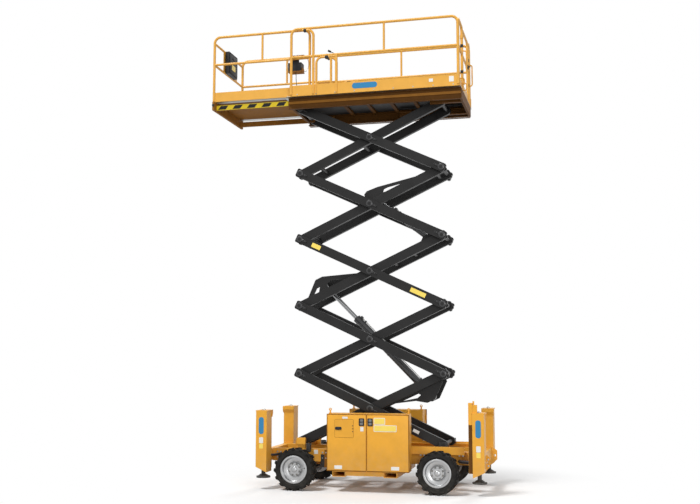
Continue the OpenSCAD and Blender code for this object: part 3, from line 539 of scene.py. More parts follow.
def cable(name: str, body: str, points: Sequence[Point], radius: float, look: Finish) -> None:
    """Makes a round cable or hose along a smooth line.

    Args:
        name: the piece's name.
        body: the body that it rides on.
        points: the points that it passes.
        radius: its radius.
        look: its finish.
    """
    curve = bpy.data.curves.new(name, "CURVE")
    curve.dimensions = "3D"
    curve.bevel_depth = radius
    curve.bevel_resolution = 3
    curve.use_fill_caps = True
    line = curve.splines.new("BEZIER")
    line.bezier_points.add(len(points) - 1)
    for knot, place in zip(line.bezier_points, points):
        knot.co = place
        knot.handle_left_type = knot.handle_right_type = "AUTO"
    made = bpy.data.objects.new(name + "_line", curve)
    bpy.context.scene.collection.objects.link(made)
    bpy.context.view_layer.update()
    mesh = bpy.data.meshes.new_from_object(made.evaluated_get(bpy.context.evaluated_depsgraph_get()))
    bpy.data.objects.remove(made)
    mesh.materials.clear()
    mesh.shade_smooth()
    add_piece(name, mesh, body, look)


def axis_place(at: Point, way: Point) -> Matrix:
    """Returns the matrix that puts a shape's Z axis along a direction at a point."""
    return Matrix.Translation(Vector(at)) @ Vector(way).to_track_quat("Z", "Y").to_matrix().to_4x4()


def joint(name: str, key: str = "pos_m") -> Vector:
    """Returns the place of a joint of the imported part, or its axis if the key says so."""
    return Vector(next(j[key] for j in frame["joints"] if j["name"] == name))


def middle(box: Sequence[Point]) -> Vector:
    """Returns the middle of a box from its lowest and highest corner."""
    return (Vector(box[0]) + Vector(box[1])) / 2


def rect(x0: float, x1: float, z0: float, z1: float) -> list[tuple[float, float]]:
    """Returns the corners of a rectangle in the side view."""
    return [(x0, z0), (x1, z0), (x1, z1), (x0, z1)]


def ring(inner: float, outer: float, half: float) -> list[tuple[float, float]]:
    """Returns the closed profile of a flat ring from its radii and half its height."""
    return [(inner, -half), (outer, -half), (outer, half), (inner, half), (inner, -half)]


@dataclass
class Solids:
    """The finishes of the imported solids; the first rule with a pattern that fits the name counts."""

    rules: tuple[tuple[str, Finish], ...] = (
        ("tyre*", RUBBER),
        ("rim*", RIM_PAINT),
        ("jack* *sliders battery_pack hydraulic_unit", IRON),
        ("*barrel", BARREL),
        ("*arms* knuckle* steer_cylinder", CHARCOAL),
        ("*_rod", CHROME),
        ("deck_plate roll_deck", DECK),
        ("control_box manual_box", BLACK),
        # The axles, the deck frame and the roll-out frame take darkened copies of the yellow paint: painted shade
        ("front_axle rear_axle", FRAME_SHADE_YELLOW),
        ("deck_frame", SHADED),
        ("roll_frame", SHADE_YELLOW),
        ("deck* side* rear_rail* gate* roll*", YELLOW),
        ("*", BASE_YELLOW),
    )

    def dress(self) -> None:
        """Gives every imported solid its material."""
        for name, solid in frame["nodes"].items():
            look = next(look for fits, look in self.rules if any(fnmatchcase(name, fit) for fit in fits.split()))
            solid.data.materials.clear()
            solid.data.materials.append(look.material())
            LOG.info("%s: %s", name, look.name)


@dataclass
class Wheels:
    """Nuts, caps, bead flanges, valves and sidewall rings of the four wheels."""

    nuts: int = 8
    nut_circle: float = 0.0925
    nut_seat: float = 0.052
    nut_size: float = 0.0125
    steps: int = 72

    def build(self) -> None:
        """Dresses every wheel."""
        for end, _ in ENDS:
            for side, sign in SIDES:
                self._wheel(f"{end}_{side}", sign)

    def _wheel(self, place: str, sign: int) -> None:
        """Dresses one wheel.

        Args:
            place: its end and side.
            sign: -1 on the left and 1 on the right.
        """
        hub = middle(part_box(f"rim_{place}"))
        body = f"wheel_{place}"
        out = Vector((0, sign, 0))
        across = axis_place(hub, out)
        flange = [(0.199, 0.104), (0.199, 0.117), (0.213, 0.1205), (0.226, 0.117), (0.231, 0.108), (0.199, 0.104)]
        dish = [
            (0.124, 0.0245), (0.13, 0.029), (0.186, 0.036), (0.196, 0.046), (0.1975, 0.04), (0.1975, 0.0245),
            (0.124, 0.0245),
        ]
        rim = Shape().turned(flange, across, self.steps).turned(dish, across, self.steps)
        rim.finish(f"rim_flange_{place}", body, RIM_PAINT)
        cap = [(0.0, 0.094), (0.022, 0.093), (0.04, 0.088), (0.047, 0.08), (0.049, 0.0705), (0.0, 0.0705)]
        Shape().turned(cap, across, 32).finish(f"hub_cap_{place}", body, RIM_PAINT)
        nuts = Shape()
        for step in range(self.nuts):
            a = math.tau * (step + 0.5) / self.nuts
            spot = hub + Vector((math.cos(a), 0, math.sin(a))) * self.nut_circle + out * self.nut_seat
            nuts.bolt(spot, out, self.nut_size).bar(spot, spot + out * 0.024, 0.007, 12)
        nuts.finish(f"wheel_nuts_{place}", body, STEEL)
        stem = hub + Vector((0.172, 0, 0.02)) + out * 0.03
        valve = Shape().bar(stem, stem + out * 0.045, 0.005, 12)
        valve.bar(stem + out * 0.03, stem + out * 0.052, 0.0075, 12).finish(f"valve_{place}", body, HOSE)
        bead = [(0.25, 0.113), (0.254, 0.1185), (0.262, 0.1205), (0.27, 0.1185), (0.274, 0.1155), (0.25, 0.113)]
        rings = Shape()
        for face in (1, -1):
            rings.turned([(r, face * z) for r, z in bead], across, self.steps)
        rings.finish(f"sidewall_rings_{place}", body, RUBBER)


@dataclass
class Scissor:
    """Pin caps, keepers, labels and cylinder fittings of the scissor stack."""

    stages: int = 5
    arm_face: float = 0.45
    boss_face: float = 0.458
    pin: float = 0.056

    def build(self) -> None:
        """Dresses all the stages and both lift cylinders."""
        self.base: Vector = joint("lift")
        self.rise: float = (joint("deck_level").z - self.base.z) / self.stages
        self.reach: float = -2 * self.base.x
        self.lean: float = math.atan2(self.rise, self.reach)
        self.turn: Matrix = Matrix.Rotation(self.lean, 3, "Y")
        for stage in range(1, self.stages + 1):
            self._pins(stage)
        self._labels()
        self._cylinder("lower", 0.062, 0.036, 1.88)
        self._cylinder("upper", 0.05, 0.03, 0.88)

    def arm_point(self, stage: int, share: float, y: float) -> Vector:
        """Returns the point at a share of an outer arm's length from its upper pin."""
        return Vector((self.base.x + share * self.reach, y, self.base.z + (stage - share) * self.rise))

    def _pins(self, stage: int) -> None:
        """Adds the pins' ends and their keepers on one pair of outer arms."""
        caps, bolts = Shape(), Shape()
        way = Vector((math.cos(self.lean), 0, -math.sin(self.lean)))
        half = Vector((0.045, 0.002, 0.016))
        for _, sign in SIDES:
            out = Vector((0, sign, 0))
            for share in (0.0, 0.5) if stage == 1 else (0.0, 0.5, 1.0):
                pin = self.arm_point(stage, share, sign * self.boss_face)
                caps.bar(pin, pin + out * 0.004, self.pin, 32)
                caps.bar(pin + out * 0.004, pin + out * 0.007, self.pin, 32, self.pin - 0.005)
                bolts.bar(pin + out * 0.007, pin + out * 0.013, 0.03, 6)
                inward = -way if share == 1.0 else way
                keeper = pin + inward * 0.092 + out * half.y
                caps.block(keeper - half, keeper + half, 0.002, self.turn)
                for far in (0.076, 0.122):
                    seat = pin + inward * far
                    caps.bar(seat - out * 0.008, seat, 0.012, 12)
                    bolts.bolt(seat + out * 0.004, out, 0.0085)
        caps.finish(f"pin_caps_{stage}", f"outer_arms_{stage}", PIN)
        bolts.finish(f"keeper_bolts_{stage}", f"outer_arms_{stage}", CHARCOAL)

    def _labels(self) -> None:
        """Puts blank labels on the near side of two outer arms."""
        for stage, share, length, height, look in (
            (1, 0.815, 0.11, 0.026, LABEL), (3, 0.12, 0.17, 0.038, AMBER), (3, 0.835, 0.28, 0.038, AMBER)
        ):
            spot = self.arm_point(stage, share, -self.arm_face - FILM)
            half = Vector((length / 2, FILM, height))
            label = Shape().block(spot - half, spot + half, 0.0, self.turn)
            label.finish(f"arm_label_{stage}_{int(share * 100)}", f"outer_arms_{stage}", look)

    @staticmethod
    def _cylinder(name: str, radius: float, rod: float, length: float) -> None:
        """Adds the pipe, port blocks, bands and wiper ring of a lift cylinder.

        Args:
            name: lower or upper.
            radius: the barrel's outside radius.
            rod: the rod's radius.
            length: the barrel's length from its foot pin.
        """
        foot, way = joint(f"{name}_swing"), joint(f"{name}_stroke", "axis").normalized()
        up = Vector((-way.z, 0, way.x))
        side = up if up.z > 0 else -up
        body = f"{name}_barrel"
        turn = axis_place((0, 0, 0), way).to_3x3()
        half = Vector((0.018, 0.018, 0.024))
        port, gland = 0.2, length - 0.06
        seat, line, inner = radius + 0.012, radius + 0.014, rod + 0.0012

        def at(far: float, off: float = 0.0) -> Vector:
            """Returns the point at a distance along the barrel and off its axis."""
            return foot + way * far + side * off

        fittings = Shape()
        for spot in (at(port, seat), at(gland, radius + 0.018)):
            fittings.block(spot - half, spot + half, 0.003, turn)
        for far in (0.34, length * 0.55, length - 0.16):
            fittings.bar(at(far - 0.011), at(far + 0.011), radius + 0.004, 32)
            fittings.bar(at(far - 0.014, line), at(far + 0.014, line), 0.015, 12)
        fittings.finish(f"{name}_barrel_fittings", body, BARREL)
        pipe = Shape().bar(at(port, line), at(gland, line), 0.008, 14)
        for far, step in ((port, 1), (gland, -1)):
            pipe.bar(at(far + step * 0.028, line), at(far + step * 0.052, line), 0.0135, 6)
        pipe.finish(f"{name}_pipe", body, ZINC)
        if name == "lower":
            knob = Shape().bar(at(port, seat), at(port, seat + 0.075), 0.016, 20)
            knob.bar(at(port, seat + 0.05), at(port, seat + 0.08), 0.026, 24, 0.022).finish("lowering_knob", body, RED)
        collar = [(inner, 0.0), (rod + 0.01, 0.0), (rod + 0.008, 0.01), (inner, 0.012), (inner, 0.0)]
        Shape().turned(collar, axis_place(at(length), way), 40).finish(f"{name}_wiper", body, HOSE)


@dataclass
class Cabinets:
    """Latches, inset panels, blank plates and lifting posts of the two cabinets."""

    split: float = 0.044
    gap: float = 0.006
    seam: float = 0.003
    skin: float = 0.007
    edge: float = 0.013

    def build(self) -> None:
        """Dresses both sides."""
        for side, sign in SIDES:
            self._doors(side, sign)
            self._tops(side, sign)

    def _doors(self, side: str, sign: int) -> None:
        """Dresses the two doors of one side.

        Args:
            side: left or right.
            sign: -1 on the left and 1 on the right.
        """
        front, rear = f"door_{side}_front", f"door_{side}_rear"
        low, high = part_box(front)
        face = high[1] if sign > 0 else low[1]

        def depth(start: float, end: float) -> tuple[float, float]:
            """Returns two places across the machine, measured out of the face reached so far."""
            return face + sign * start, face + sign * end

        for body in (front, rear):
            low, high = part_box(body)
            x0, x1 = (low[0], self.split - self.gap) if body == front else (self.split + self.gap, high[0])
            # A brown plate under each door's skin leaves a strip round the door: painted shade on the cabinet's shell
            # behind the door's edge
            Shape().plate(rect(x0, x1, low[2], high[2]), *depth(0, FILM)).finish(f"door_edge_shade_{body}", body, SHADE_YELLOW)
            x0, x1 = (x0 + self.edge, x1 - self.seam) if body == front else (x0 + self.seam, x1 - self.edge)
            y0, y1 = sorted(depth(-0.001, self.skin))
            skin = Shape().block((x0, y0, low[2] + self.edge), (x1, y1, high[2] - self.edge), self.skin - 0.001)
            skin.finish(f"door_skin_{body}", body, BASE_YELLOW)
        face += sign * self.skin
        if sign < 0:
            self._near_plates(front, rear, depth)
        for body, x in ((front, self.split - 0.081), (rear, self.split + 0.063)):
            plate = Shape().card((x - 0.045, x + 0.045, 1.076, 1.2), 0.014, *depth(0, 0.005))
            plate.finish(f"latch_plate_{body}", body, BLACK)
            grip = Shape().card((x - 0.024, x + 0.024, 1.092, 1.13), 0.008, *depth(0.005, 0.008))
            grip.card((x - 0.024, x + 0.024, 1.146, 1.184), 0.008, *depth(0.005, 0.007))
            grip.finish(f"latch_grip_{body}", body, STEEL)

    @staticmethod
    def _near_plates(front: str, rear: str, depth: Depth) -> None:
        """Adds the inset panel and the blank plates of the near doors.

        Args:
            front: the front door's body.
            rear: the rear door's body.
            depth: gives two places across the machine, measured out of the doors' faces.
        """
        Shape().card((-0.492, -0.17, 0.883, 1.182), 0.022, *depth(0, FILM)).finish("panel_seam", front, SHADE_YELLOW)
        Shape().card((-0.488, -0.174, 0.887, 1.178), 0.018, *depth(0, 0.0022)).finish("panel", front, BASE_YELLOW)
        latch = Shape().card((-0.482, -0.372, 1.008, 1.058), 0.02, *depth(0.002, 0.01))
        latch.card((-0.462, -0.388, 1.02, 1.046), 0.01, *depth(0.01, 0.014)).finish("panel_latch", front, BLACK)
        screws = Shape()
        seat, head = depth(0, 0.006)
        for z in (0.985, 1.03, 1.075):
            screws.bar((-0.186, seat, z), (-0.186, head, z), 0.008, 14)
        screws.finish("panel_screws", front, IRON)
        plates = (
            (front, LABEL, -0.058, -0.004, 0.99, 1.062), (front, LABEL, -0.495, -0.365, 0.378, 0.435),
            (front, LABEL, -0.36, -0.27, 1.19, 1.222), (rear, LABEL, 0.452, 0.585, 0.378, 0.435),
            (rear, AMBER, 0.166, 0.356, 1.103, 1.21), (rear, AMBER, 0.166, 0.545, 0.987, 1.094),
        )
        rim = 0.009
        for number, (body, look, x0, x1, z0, z1) in enumerate(plates):
            if look is AMBER:
                Shape().card((x0, x1, z0, z1), 0.01, *depth(0, FILM)).finish(f"plate_rim_{number}", body, LABEL)
                x0, x1, z0, z1 = x0 + rim, x1 - rim, z0 + rim, z1 - rim
            Shape().card((x0, x1, z0, z1), 0.008, *depth(0, 2 * FILM)).finish(f"door_plate_{number}", body, look)

    @staticmethod
    def _tops(side: str, sign: int) -> None:
        """Adds the lifting posts on one cabinet's top."""
        low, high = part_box(f"cabinet_{side}")
        top = high[2]
        posts = Shape()
        for x, y in ((low[0] + 0.045, sign * 0.83), (high[0] - 0.055, sign * 0.62)):
            posts.bar((x, y, top), (x, y, top + 0.012), 0.026, 20)
            posts.bar((x, y, top + 0.012), (x, y, top + 0.062), 0.013, 16)
            posts.turned(ring(0.012, 0.024, 0.006), axis_place((x, y, top + 0.066), (0, 1, 0)), 24)
        posts.finish(f"lifting_posts_{side}", "chassis", BASE_YELLOW)


# Each pipe's way from the frame rail to the near leg: distance from the jack, distance from the middle, height
LEG_PIPES = {
    "front": (
        (0.225, 0.449, 0.56), (0.19, 0.475, 0.555), (0.15, 0.53, 0.55), (0.115, 0.6, 0.55), (0.08, 0.64, 0.555)
    ),
    "rear": ((0.36, 0.449, 0.5), (0.33, 0.5, 0.5), (0.25, 0.55, 0.5), (0.15, 0.6, 0.5), (0.08, 0.64, 0.505)),
}


@dataclass
class Chassis:
    """Plates, bolts and pipes of the legs and the frame."""

    rail: float = 0.45
    bolt_size: float = 0.011

    def build(self) -> None:
        """Dresses the legs and the frame rails."""
        for end, way in ENDS:
            self._legs(end, way)
        self._rails()

    def _legs(self, end: str, way: int) -> None:
        """Dresses one pair of legs.

        Args:
            end: front or rear.
            way: -1 at the front and 1 at the rear.
        """
        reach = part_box(f"{end}_legs")[1][1]
        bolts = Shape()
        for side, sign in SIDES:
            x = middle(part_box(f"jack_{end}_{side}")).x
            for dx, z in ((0.126, 0.56), (0.126, 0.46), (0.06, 0.62), (0.06, 0.42)):
                bolts.bolt((x + way * dx, sign * (reach - 0.269), z), (0, sign, 0), self.bolt_size)
            y = sign * (reach - 0.135)
            bolts.bar((x, y, 1.306), (x, y, 1.318), 0.03, 24).bolt((x, y, 1.318), (0, 0, 1), 0.016)
            if sign < 0:
                self._near_leg(end, way, x, -reach)
        bolts.finish(f"leg_bolts_{end}", "chassis", ZINC)

    @staticmethod
    def _near_leg(end: str, way: int, x: float, face: float) -> None:
        """Adds the blank plates and the pipe of one near leg.

        Args:
            end: front or rear.
            way: -1 at the front and 1 at the rear.
            x: the middle of its jack.
            face: where its outer face lies across the machine.
        """
        top = 0.86 if way < 0 else 0.79
        plates = (
            (BLUE, 0.044, 0.915, 1.195, 0.038),
            (LABEL, 0.036, top - 0.095, top, 0.01),
            (AMBER, 0.034, top - 0.185, top - 0.102, 0.01),
        )
        for number, (look, half, z0, z1, corner) in enumerate(plates):
            plate = Shape().card((x - half, x + half, z0, z1), corner, face, face - LABEL_DEPTH)
            plate.finish(f"leg_plate_{end}_{number}", "chassis", look)
        points = [(x - way * back, -y, z) for back, y, z in LEG_PIPES[end]]
        cable(f"leg_pipe_{end}", "chassis", points, 0.02 if way < 0 else 0.028, HOSE)

    def _rails(self) -> None:
        """Adds the frame's bolts, and the blank plate, the strip and the dark parts of the near side; the strip and the
        dark plates are painted shade, and a mudguard stay stands among the dark parts.
        """
        bolts = Shape()
        for _, sign in SIDES:
            for x in (-1.62, -1.56, -0.82, -0.76, 0.86, 0.92, 1.5, 1.56):
                for z in (0.5, 0.59):
                    bolts.bolt((x, sign * self.rail, z), (0, sign, 0), self.bolt_size)
        bolts.finish("frame_bolts", "chassis", ZINC)
        near = -self.rail
        plate = Shape().card((-0.97, -0.9, 0.565, 0.635), 0.006, near, near - LABEL_DEPTH)
        plate.finish("frame_plates", "chassis", LABEL)
        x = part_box("rear_legs")[0][0]
        # A thin plate in deep-shade yellow on the rear leg's side plate: painted shade
        Shape().block((x + 0.002, -0.887, 0.36), (x + 0.06, -0.8855, 1.12)).finish("leg_strip_shade", "chassis", SHADED)
        # Brown and dark plates on the rail between the front wheel and the cabinet paint the shade there; the dark
        # block by the front wheel is a mudguard stay
        tray = near - 0.008
        Shape().plate(rect(-0.785, -0.632, 0.345, 0.64), near, tray).finish("rail_shade_panel", "chassis", SHADE_YELLOW)
        dark = Shape().plate(rect(-0.85, -0.785, 0.345, 0.56), near, near - 0.004)
        dark.plate(rect(-0.7, -0.655, 0.365, 0.525), tray, tray - 0.0015)
        dark.block((-1.085, -0.545, 0.6), (-1.015, near, 0.745), 0.012).finish("rail_shade_plates_and_stay", "chassis", IRON)


@dataclass
class Platform:
    """Channel lips, clips, rings, latches and blank plates of the main deck and its rails."""

    rail: float = 0.8
    web: float = 0.66
    toe_bolts: int = 9
    toe_step: float = 0.34

    def build(self) -> None:
        """Dresses the underside, the toe boards, the rails and the gate."""
        low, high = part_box("side_rail_left")
        self.face: float = low[1] + 0.019
        self.floor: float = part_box("deck_plate")[1][2]
        self.top: float = high[2] - 0.023
        self.mid: float = joint("gate_swing").z
        self._underside()
        self._toe_boards()
        self._rail_fittings()
        self._gate()

    def _underside(self) -> None:
        """Lays a dark sheet under the deck plate as painted shade, and adds the side channels' lips and ridges in
        yellows darkened as painted shade.
        """
        low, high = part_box("deck_plate")
        # A dark sheet under the deck plate: painted shade
        coat = Shape().block((low[0] + 0.02, -0.645, low[2] - 0.0015), (high[0] - 0.02, 0.645, low[2]))
        coat.finish("deck_underside_shade", "platform", IRON)
        low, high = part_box("deck_frame")
        lips, ridges = Shape(), Shape()
        for _, sign in SIDES:
            for shape, z0, z1, reach, corner in (
                (lips, low[2], low[2] + 0.012, 0.03, 0.004),
                (lips, high[2] - 0.012, high[2] - 0.002, 0.036, 0.004),
                (ridges, high[2] - 0.106, high[2] - 0.056, 0.028, 0.012),
            ):
                near, far = sorted((sign * self.web, sign * (self.web + reach)))
                shape.block((low[0] + 0.01, near, z0), (high[0] - 0.01, far, z1), corner)
        # The lips take the deep painted shade and the ridges the lighter painted shade, so the ridges look lit against
        # the shaded web
        lips.finish("channel_lips", "platform", SHADED)
        ridges.finish("channel_ridges", "platform", SHADE_YELLOW)

    def _toe_boards(self) -> None:
        """Adds blank plates and bolts to the side toe boards."""
        z, near = self.floor, (self.face, self.face - LABEL_DEPTH)
        Shape().card((-0.22, 0.22, z + 0.058, z + 0.158), 0.046, *near).finish("toe_plate", "platform", BLUE)
        whites = Shape().card((1.11, 1.18, z + 0.085, z + 0.14), 0.005, *near)
        whites.card((1.45, 1.53, z + 0.065, z + 0.16), 0.005, *near).finish("toe_labels", "platform", LABEL)
        for side, sign in SIDES:
            bolts = Shape()
            for number in range(self.toe_bolts):
                bolts.bolt((-1.2 + self.toe_step * number, -sign * self.face, z + 0.022), (0, sign, 0), 0.008)
            bolts.finish(f"toe_bolts_{side}", "platform", ZINC)

    def _rail_fittings(self) -> None:
        """Adds the near rail's lever, the black clips and the lanyard rings."""
        black, rings = Shape(), Shape()
        base = Vector((-0.53, 0.02 - self.rail, self.mid + 0.016))
        tip = base + Vector((-0.1, 0, 0.055))
        black.bar(base, tip, 0.007, 12)
        black.bar(tip + Vector((-0.02, 0, 0.011)), tip + Vector((0.025, 0, -0.014)), 0.018, 16)
        knob, eye = self.floor + 0.36, self.floor + 0.15
        for _, sign in SIDES:
            y = sign * self.rail
            black.block((-0.7, y - 0.03, self.mid - 0.065), (-0.64, y + 0.03, self.mid - 0.018), 0.008)
            black.block((-1.09, y - 0.031, self.top - 0.062), (-1.04, y + 0.031, self.top - 0.012), 0.008)
            black.bar((-0.5, y, knob), (-0.5, y - sign * 0.034, knob), 0.016, 16)
            for x in (-0.95, 0.05, 0.95):
                rings.bar((x, y - sign * 0.004, eye), (x, y - sign * 0.016, eye), 0.022, 20)
                hung = axis_place((x, y - sign * 0.038, self.floor + 0.136), (1, 0, 0))
                rings.turned(ring(0.021, 0.031, 0.005), hung, 28)
        black.finish("rail_clips", "platform", BLACK)
        rings.finish("lanyard_rings", "platform", ZINC)

    def _gate(self) -> None:
        """Adds the gate's latch and the rear posts' sleeves."""
        low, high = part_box("gate")
        x, y, z = (low[0] + high[0]) / 2, high[1] - 0.02, self.mid
        latch = Shape().block((x - 0.022, y - 0.085, z - 0.03), (x + 0.03, y + 0.012, z + 0.03), 0.006)
        latch.bar((x + 0.028, y - 0.05, z), (x + 0.062, y - 0.05, z), 0.012, 16).finish("gate_latch", "gate", BLACK)
        sleeves = Shape()
        for post in (-0.27, 0.57):
            for foot in (z - 0.34, z + 0.12):
                sleeves.bar((x, post, foot), (x, post, foot + 0.055), 0.027, 20)
        sleeves.finish("rear_post_sleeves", "platform", BLACK)


@dataclass
class RollOut:
    """Striped beams, front panel, stiffeners and control fittings of the roll-out deck."""

    beam: float = 0.643
    rail: float = -0.72
    stripes: int = 5
    stripe_step: float = 0.272

    def build(self) -> None:
        """Dresses the beams, the underside, the front panel and the control box."""
        self.low, self.high = (Vector(corner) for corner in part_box("roll_frame"))
        self.floor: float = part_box("roll_rails")[0][2]
        self._stripes()
        self._underside()
        self._front()
        self._controls()

    def _stripes(self) -> None:
        """Lays the striped plates on the outsides of the side beams."""
        x0, x1 = self.low.x + 0.045, self.low.x + 1.392
        z0, z1 = self.low.z + 0.016, self.low.z + 0.102
        edge, length, slant = 0.009, 0.145, 0.05
        plates, bars = Shape(), Shape()
        for _, sign in SIDES:
            face = sign * (self.beam + 0.001)
            plates.card((x0, x1, z0, z1), 0.004, sign * self.beam, face)
            for number in range(self.stripes):
                x = x0 + 0.03 + self.stripe_step * number
                foot, head = (x, x + length), (x + slant + length, x + slant)
                outline = [(x, z0 + edge) for x in foot] + [(x, z1 - edge) for x in head]
                bars.plate(outline, face, face + sign * 0.0004)
        plates.finish("stripe_plates", "roll_out", SIGN)
        bars.finish("stripe_bars", "roll_out", BLACK)

    def _underside(self) -> None:
        """Adds the flat stiffeners and the ribs under the floor, in the yellow darkened as painted shade."""
        x, z0, z1 = self.low.x, self.floor - 0.0045, self.floor
        straps, ribs = Shape(), Shape()
        for y0, y1 in ((-0.58, -0.33), (-0.14, 0.58)):
            straps.block((x + 0.045, y0, z0), (x + 1.33, y1, z1))
        straps.finish("floor_stiffeners", "roll_out", SHADE_YELLOW)
        for far in (0.42, 0.88, 1.26):
            ribs.block((x + far, -0.585, z0 - 0.0002), (x + far + 0.06, 0.585, z1 - 0.0002))
        ribs.finish("floor_ribs", "roll_out", SHADE_YELLOW)

    def _front(self) -> None:
        """Adds the panel behind the manual box, the box's lid and label, and the corner rollers."""
        (x0, y0, z0), (x1, y1, z1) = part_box("manual_box")
        x = x0 - 0.0203
        panel = Shape().block((x - 0.002, y0 - 0.06, z0 - 0.004), (x + 0.002, y1 + 0.22, z1 + 0.004))
        panel.finish("front_panel", "roll_out", YELLOW)
        lid = Shape().block((x1 - 0.002, y0 + 0.02, z0 + 0.02), (x1 + 0.008, y1 - 0.02, z1 - 0.02), 0.012)
        lid.block((x1 + 0.006, -0.08, z1 - 0.12), (x1 + 0.014, 0.04, z1 - 0.06), 0.004)
        lid.finish("manual_box_lid", "roll_out", BLACK)
        label = Shape().block((x1 + 0.0082, -0.11, z0 + 0.1), (x1 + 0.0092, 0.07, z0 + 0.2))
        label.finish("manual_box_label", "roll_out", AMBER)
        rollers = Shape()
        x, z = self.low.x + 0.02, self.low.z + 0.09
        for _, sign in SIDES:
            rollers.bar((x, sign * self.high.y, z), (x, sign * (self.high.y + 0.012), z), 0.022, 20)
        rollers.finish("corner_rollers", "roll_out", BLACK)

    def _controls(self) -> None:
        """Adds the joystick, the buttons, the guard hoop, the tray and the clipped lead."""
        (x0, _, z0), (x1, y1, z1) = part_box("control_box")
        y0, top, up = y1 - 0.16, z0 + 0.15, (0, 0, 1)
        knob = [
            (0.0, 0.06), (0.012, 0.056), (0.019, 0.044), (0.018, 0.024), (0.01, 0.006), (0.01, -0.02), (0.0, -0.02)
        ]
        boot = [(0.0, 0.021), (0.016, 0.02), (0.022, 0.012), (0.036, 0.004), (0.04, 0.0), (0.0, 0.0)]
        stop = [(0.0, 0.036), (0.016, 0.034), (0.022, 0.026), (0.021, 0.018), (0.012, 0.014), (0.012, 0.0), (0.0, 0.0)]
        x, y = x0 + 0.07, y0 + 0.09
        stick = Shape().turned(knob, axis_place((x, y, z1), up), 24).turned(boot, axis_place((x, y, top), up), 24)
        stick.finish("joystick", "roll_out", HOSE)
        button = Shape().turned(stop, axis_place((x0 + 0.165, y0 + 0.11, top), up), 24)
        button.finish("stop_button", "roll_out", RED)
        face = Shape().block((x0 + 0.018, y0 + 0.015, top), (x1 - 0.018, y1 - 0.012, top + 0.002))
        face.finish("control_face", "roll_out", IRON)
        small = Shape()
        for x in (x0 + 0.115 + 0.025 * number for number in range(4)):
            small.bar((x, y0 + 0.045, top + 0.002), (x, y0 + 0.045, top + 0.009), 0.008, 14)
        small.finish("control_buttons", "roll_out", ZINC)
        arm = ((0.004, -0.006, z0 + 0.02), (0.045, 0.03, z0 + 0.05), (0.05, 0.04, z1 + 0.04), (0.0, 0.04, z1 + 0.085))
        hoop = [(x0 - out, y1 + dy, z) for out, dy, z in arm]
        hoop += [(x1 + out, y1 + dy, z) for out, dy, z in reversed(arm)]
        cable("control_hoop", "roll_out", hoop, 0.005, ZINC)
        tray = Shape().block((x0 - 0.012, y0 - 0.004, z0 - 0.012), (x1 + 0.012, y1 + 0.012, z0), 0.003)
        tray.block((x1 - 0.004, y0 + 0.02, z0), (x1 + 0.012, y1 - 0.01, z0 + 0.06), 0.003)
        tray.block((x0 + 0.015, y1 + 0.026, z1 + 0.062), (x1 - 0.005, y1 + 0.054, z1 + 0.108), 0.004)
        # The tray takes the yellow darkened as painted shade
        tray.finish("control_tray", "roll_out", SHADE_YELLOW)
        x, y = x0 + 0.16, self.rail + 0.0105
        lead = [(x - 0.04, y0 + 0.06, z0 - 0.01), (x - 0.03, y0 + 0.05, z0 - 0.06), (x - 0.01, y + 0.0015, z0 - 0.16)]
        lead += [(x, y, z) for z in (z0 - 0.26, self.floor + 0.1, self.floor + 0.03)]
        cable("control_lead", "roll_out", lead, 0.006, HOSE)
        clips = Shape()
        for z in (self.floor + 0.13, self.floor + 0.05):
            clips.block((x - 0.012, self.rail + 0.004, z - 0.008), (x + 0.012, self.rail + 0.019, z + 0.008), 0.002)
        clips.finish("lead_clips", "roll_out", BLACK)


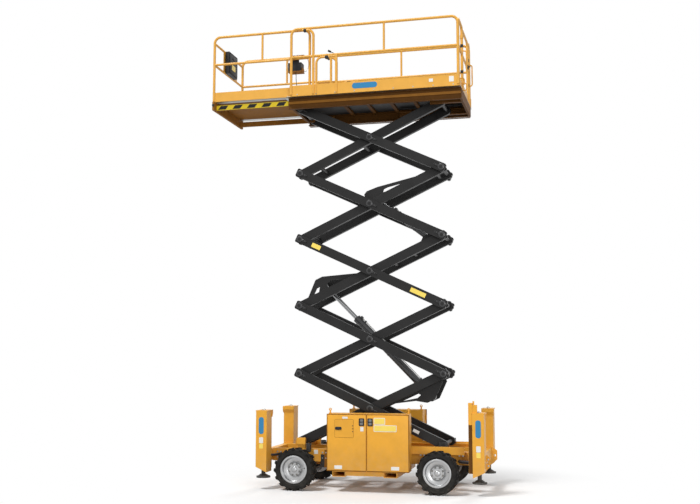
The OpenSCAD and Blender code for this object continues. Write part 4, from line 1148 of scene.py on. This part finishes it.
@dataclass
class Studio:
    """The floor, the light and the camera."""

    eye: tuple[float, float, float] = (3.5524, -16.2812, 2.1713)
    yaw: float = 0.2412
    pitch: float = 0.1112
    focal_px: float = 953.91
    width_px: float = 700.0
    sensor: float = 36.0
    target: tuple[float, float, float] = (0, 0, 4)
    floor_size: float = 120.0
    soft_light: float = 0.3

    def build(self) -> None:
        """Sets up the floor, lamps, world and camera."""
        scene = bpy.context.scene
        scene.view_settings.view_transform = "Standard"
        self._floor()
        self._world()
        self._lamp("key", (-15.5, -21, 46), 12.0, 19500.0)
        self._lamp("fill", (20, -30, 8), 14.0, 4900.0)
        self._lamp("rim_light", (8, 30, 40), 14.0, 5000.0)
        camera = bpy.data.cameras.new("camera")
        camera.sensor_width = self.sensor
        camera.lens = self.focal_px * self.sensor / self.width_px
        eye = bpy.data.objects.new("camera", camera)
        eye.location = self.eye
        eye.rotation_euler = (math.pi / 2 + self.pitch, 0.0, self.yaw)
        scene.collection.objects.link(eye)
        scene.camera = eye

    @staticmethod
    def _seen(tree: Tree) -> Node:
        """Returns a node that gives 1 for what the camera sees, straight, mirrored or through glass."""
        path = add_node(tree, "LightPath")
        mirrored, seen = (add_node(tree, "Math", {"operation": "MAXIMUM"}) for _ in range(2))
        wire(
            tree,
            (path, "Is Camera Ray", mirrored, 0), (path, "Is Glossy Ray", mirrored, 1), (mirrored, 0, seen, 0),
            (path, "Is Transmission Ray", seen, 1),
        )
        return seen

    def _floor(self) -> None:
        """Lays a wide pale floor that looks white where it takes no shadow."""
        bm = bmesh.new()
        bmesh.ops.create_grid(bm, x_segments=1, y_segments=1, size=self.floor_size)
        mesh = bpy.data.meshes.new("floor")
        bm.to_mesh(mesh)
        bm.free()
        floor = bpy.data.objects.new("floor", mesh)
        floor.location.z = -0.001
        look = bpy.data.materials.new("pale_floor")
        look.use_nodes = True
        tree = look.node_tree
        shader = tree.nodes["Principled BSDF"]
        shader.inputs["Roughness"].default_value = 0.9
        seen = self._seen(tree)
        tint = add_node(tree, "Mix", {"data_type": "RGBA"}, {"A": (0.45, 0.45, 0.45, 1), "B": (0.9, 0.9, 0.9, 1)})
        place = add_node(tree, "TexCoord")
        away = add_node(tree, "VectorMath", {"operation": "LENGTH"})
        fade = add_node(tree, "MapRange", {"interpolation_type": "SMOOTHSTEP"}, {"From Min": 1.5, "From Max": 4.5})
        share = add_node(tree, "Math", {"operation": "MULTIPLY"})
        white = add_node(tree, "Emission", values={"Color": WHITE, "Strength": 1.0})
        mix = add_node(tree, "MixShader")
        wire(
            tree,
            (seen, 0, tint, "Factor"), (tint, "Result", shader, "Base Color"), (place, "Object", away, 0),
            (away, "Value", fade, "Value"), (fade, "Result", share, 0), (seen, 0, share, 1),
            (share, 0, mix, "Fac"), (shader, "BSDF", mix, 1), (white, "Emission", mix, 2),
            (mix, "Shader", tree.nodes["Material Output"], "Surface"),
        )
        mesh.materials.append(look)
        bpy.context.scene.collection.objects.link(floor)

    def _world(self) -> None:
        """Makes a white backdrop for the camera and an even soft light for the part."""
        world = bpy.data.worlds.new("studio")
        world.use_nodes = True
        tree = world.node_tree
        light = tree.nodes["Background"]
        light.inputs["Color"].default_value = WHITE
        light.inputs["Strength"].default_value = self.soft_light
        white = add_node(tree, "Background", values={"Color": WHITE, "Strength": 1.0})
        mix = add_node(tree, "MixShader")
        wire(
            tree,
            (self._seen(tree), 0, mix, "Fac"), (light, "Background", mix, 1), (white, "Background", mix, 2),
            (mix, "Shader", tree.nodes["World Output"], "Surface"),
        )
        bpy.context.scene.world = world

    def _lamp(self, name: str, at: Point, size: float, power: float) -> None:
        """Adds a square soft lamp that faces the middle of the part.

        Args:
            name: the lamp's name.
            at: where it stands.
            size: the length of its side.
            power: its power in watts.
        """
        lamp = bpy.data.lights.new(name, "AREA")
        lamp.size = size
        lamp.energy = power
        held = bpy.data.objects.new(name, lamp)
        held.location = at
        held.rotation_euler = (Vector(self.target) - Vector(at)).to_track_quat("-Z", "Y").to_euler()
        bpy.context.scene.collection.objects.link(held)


def main() -> None:
    """Builds the scene, one sub-assembly after another."""
    logging.basicConfig(level=logging.INFO, format="%(name)s: %(message)s")
    Studio().build()
    Solids().dress()
    for assembly in (Wheels(), Scissor(), Cabinets(), Chassis(), Platform(), RollOut()):
        assembly.build()


if __name__ == "__main__":
    main()
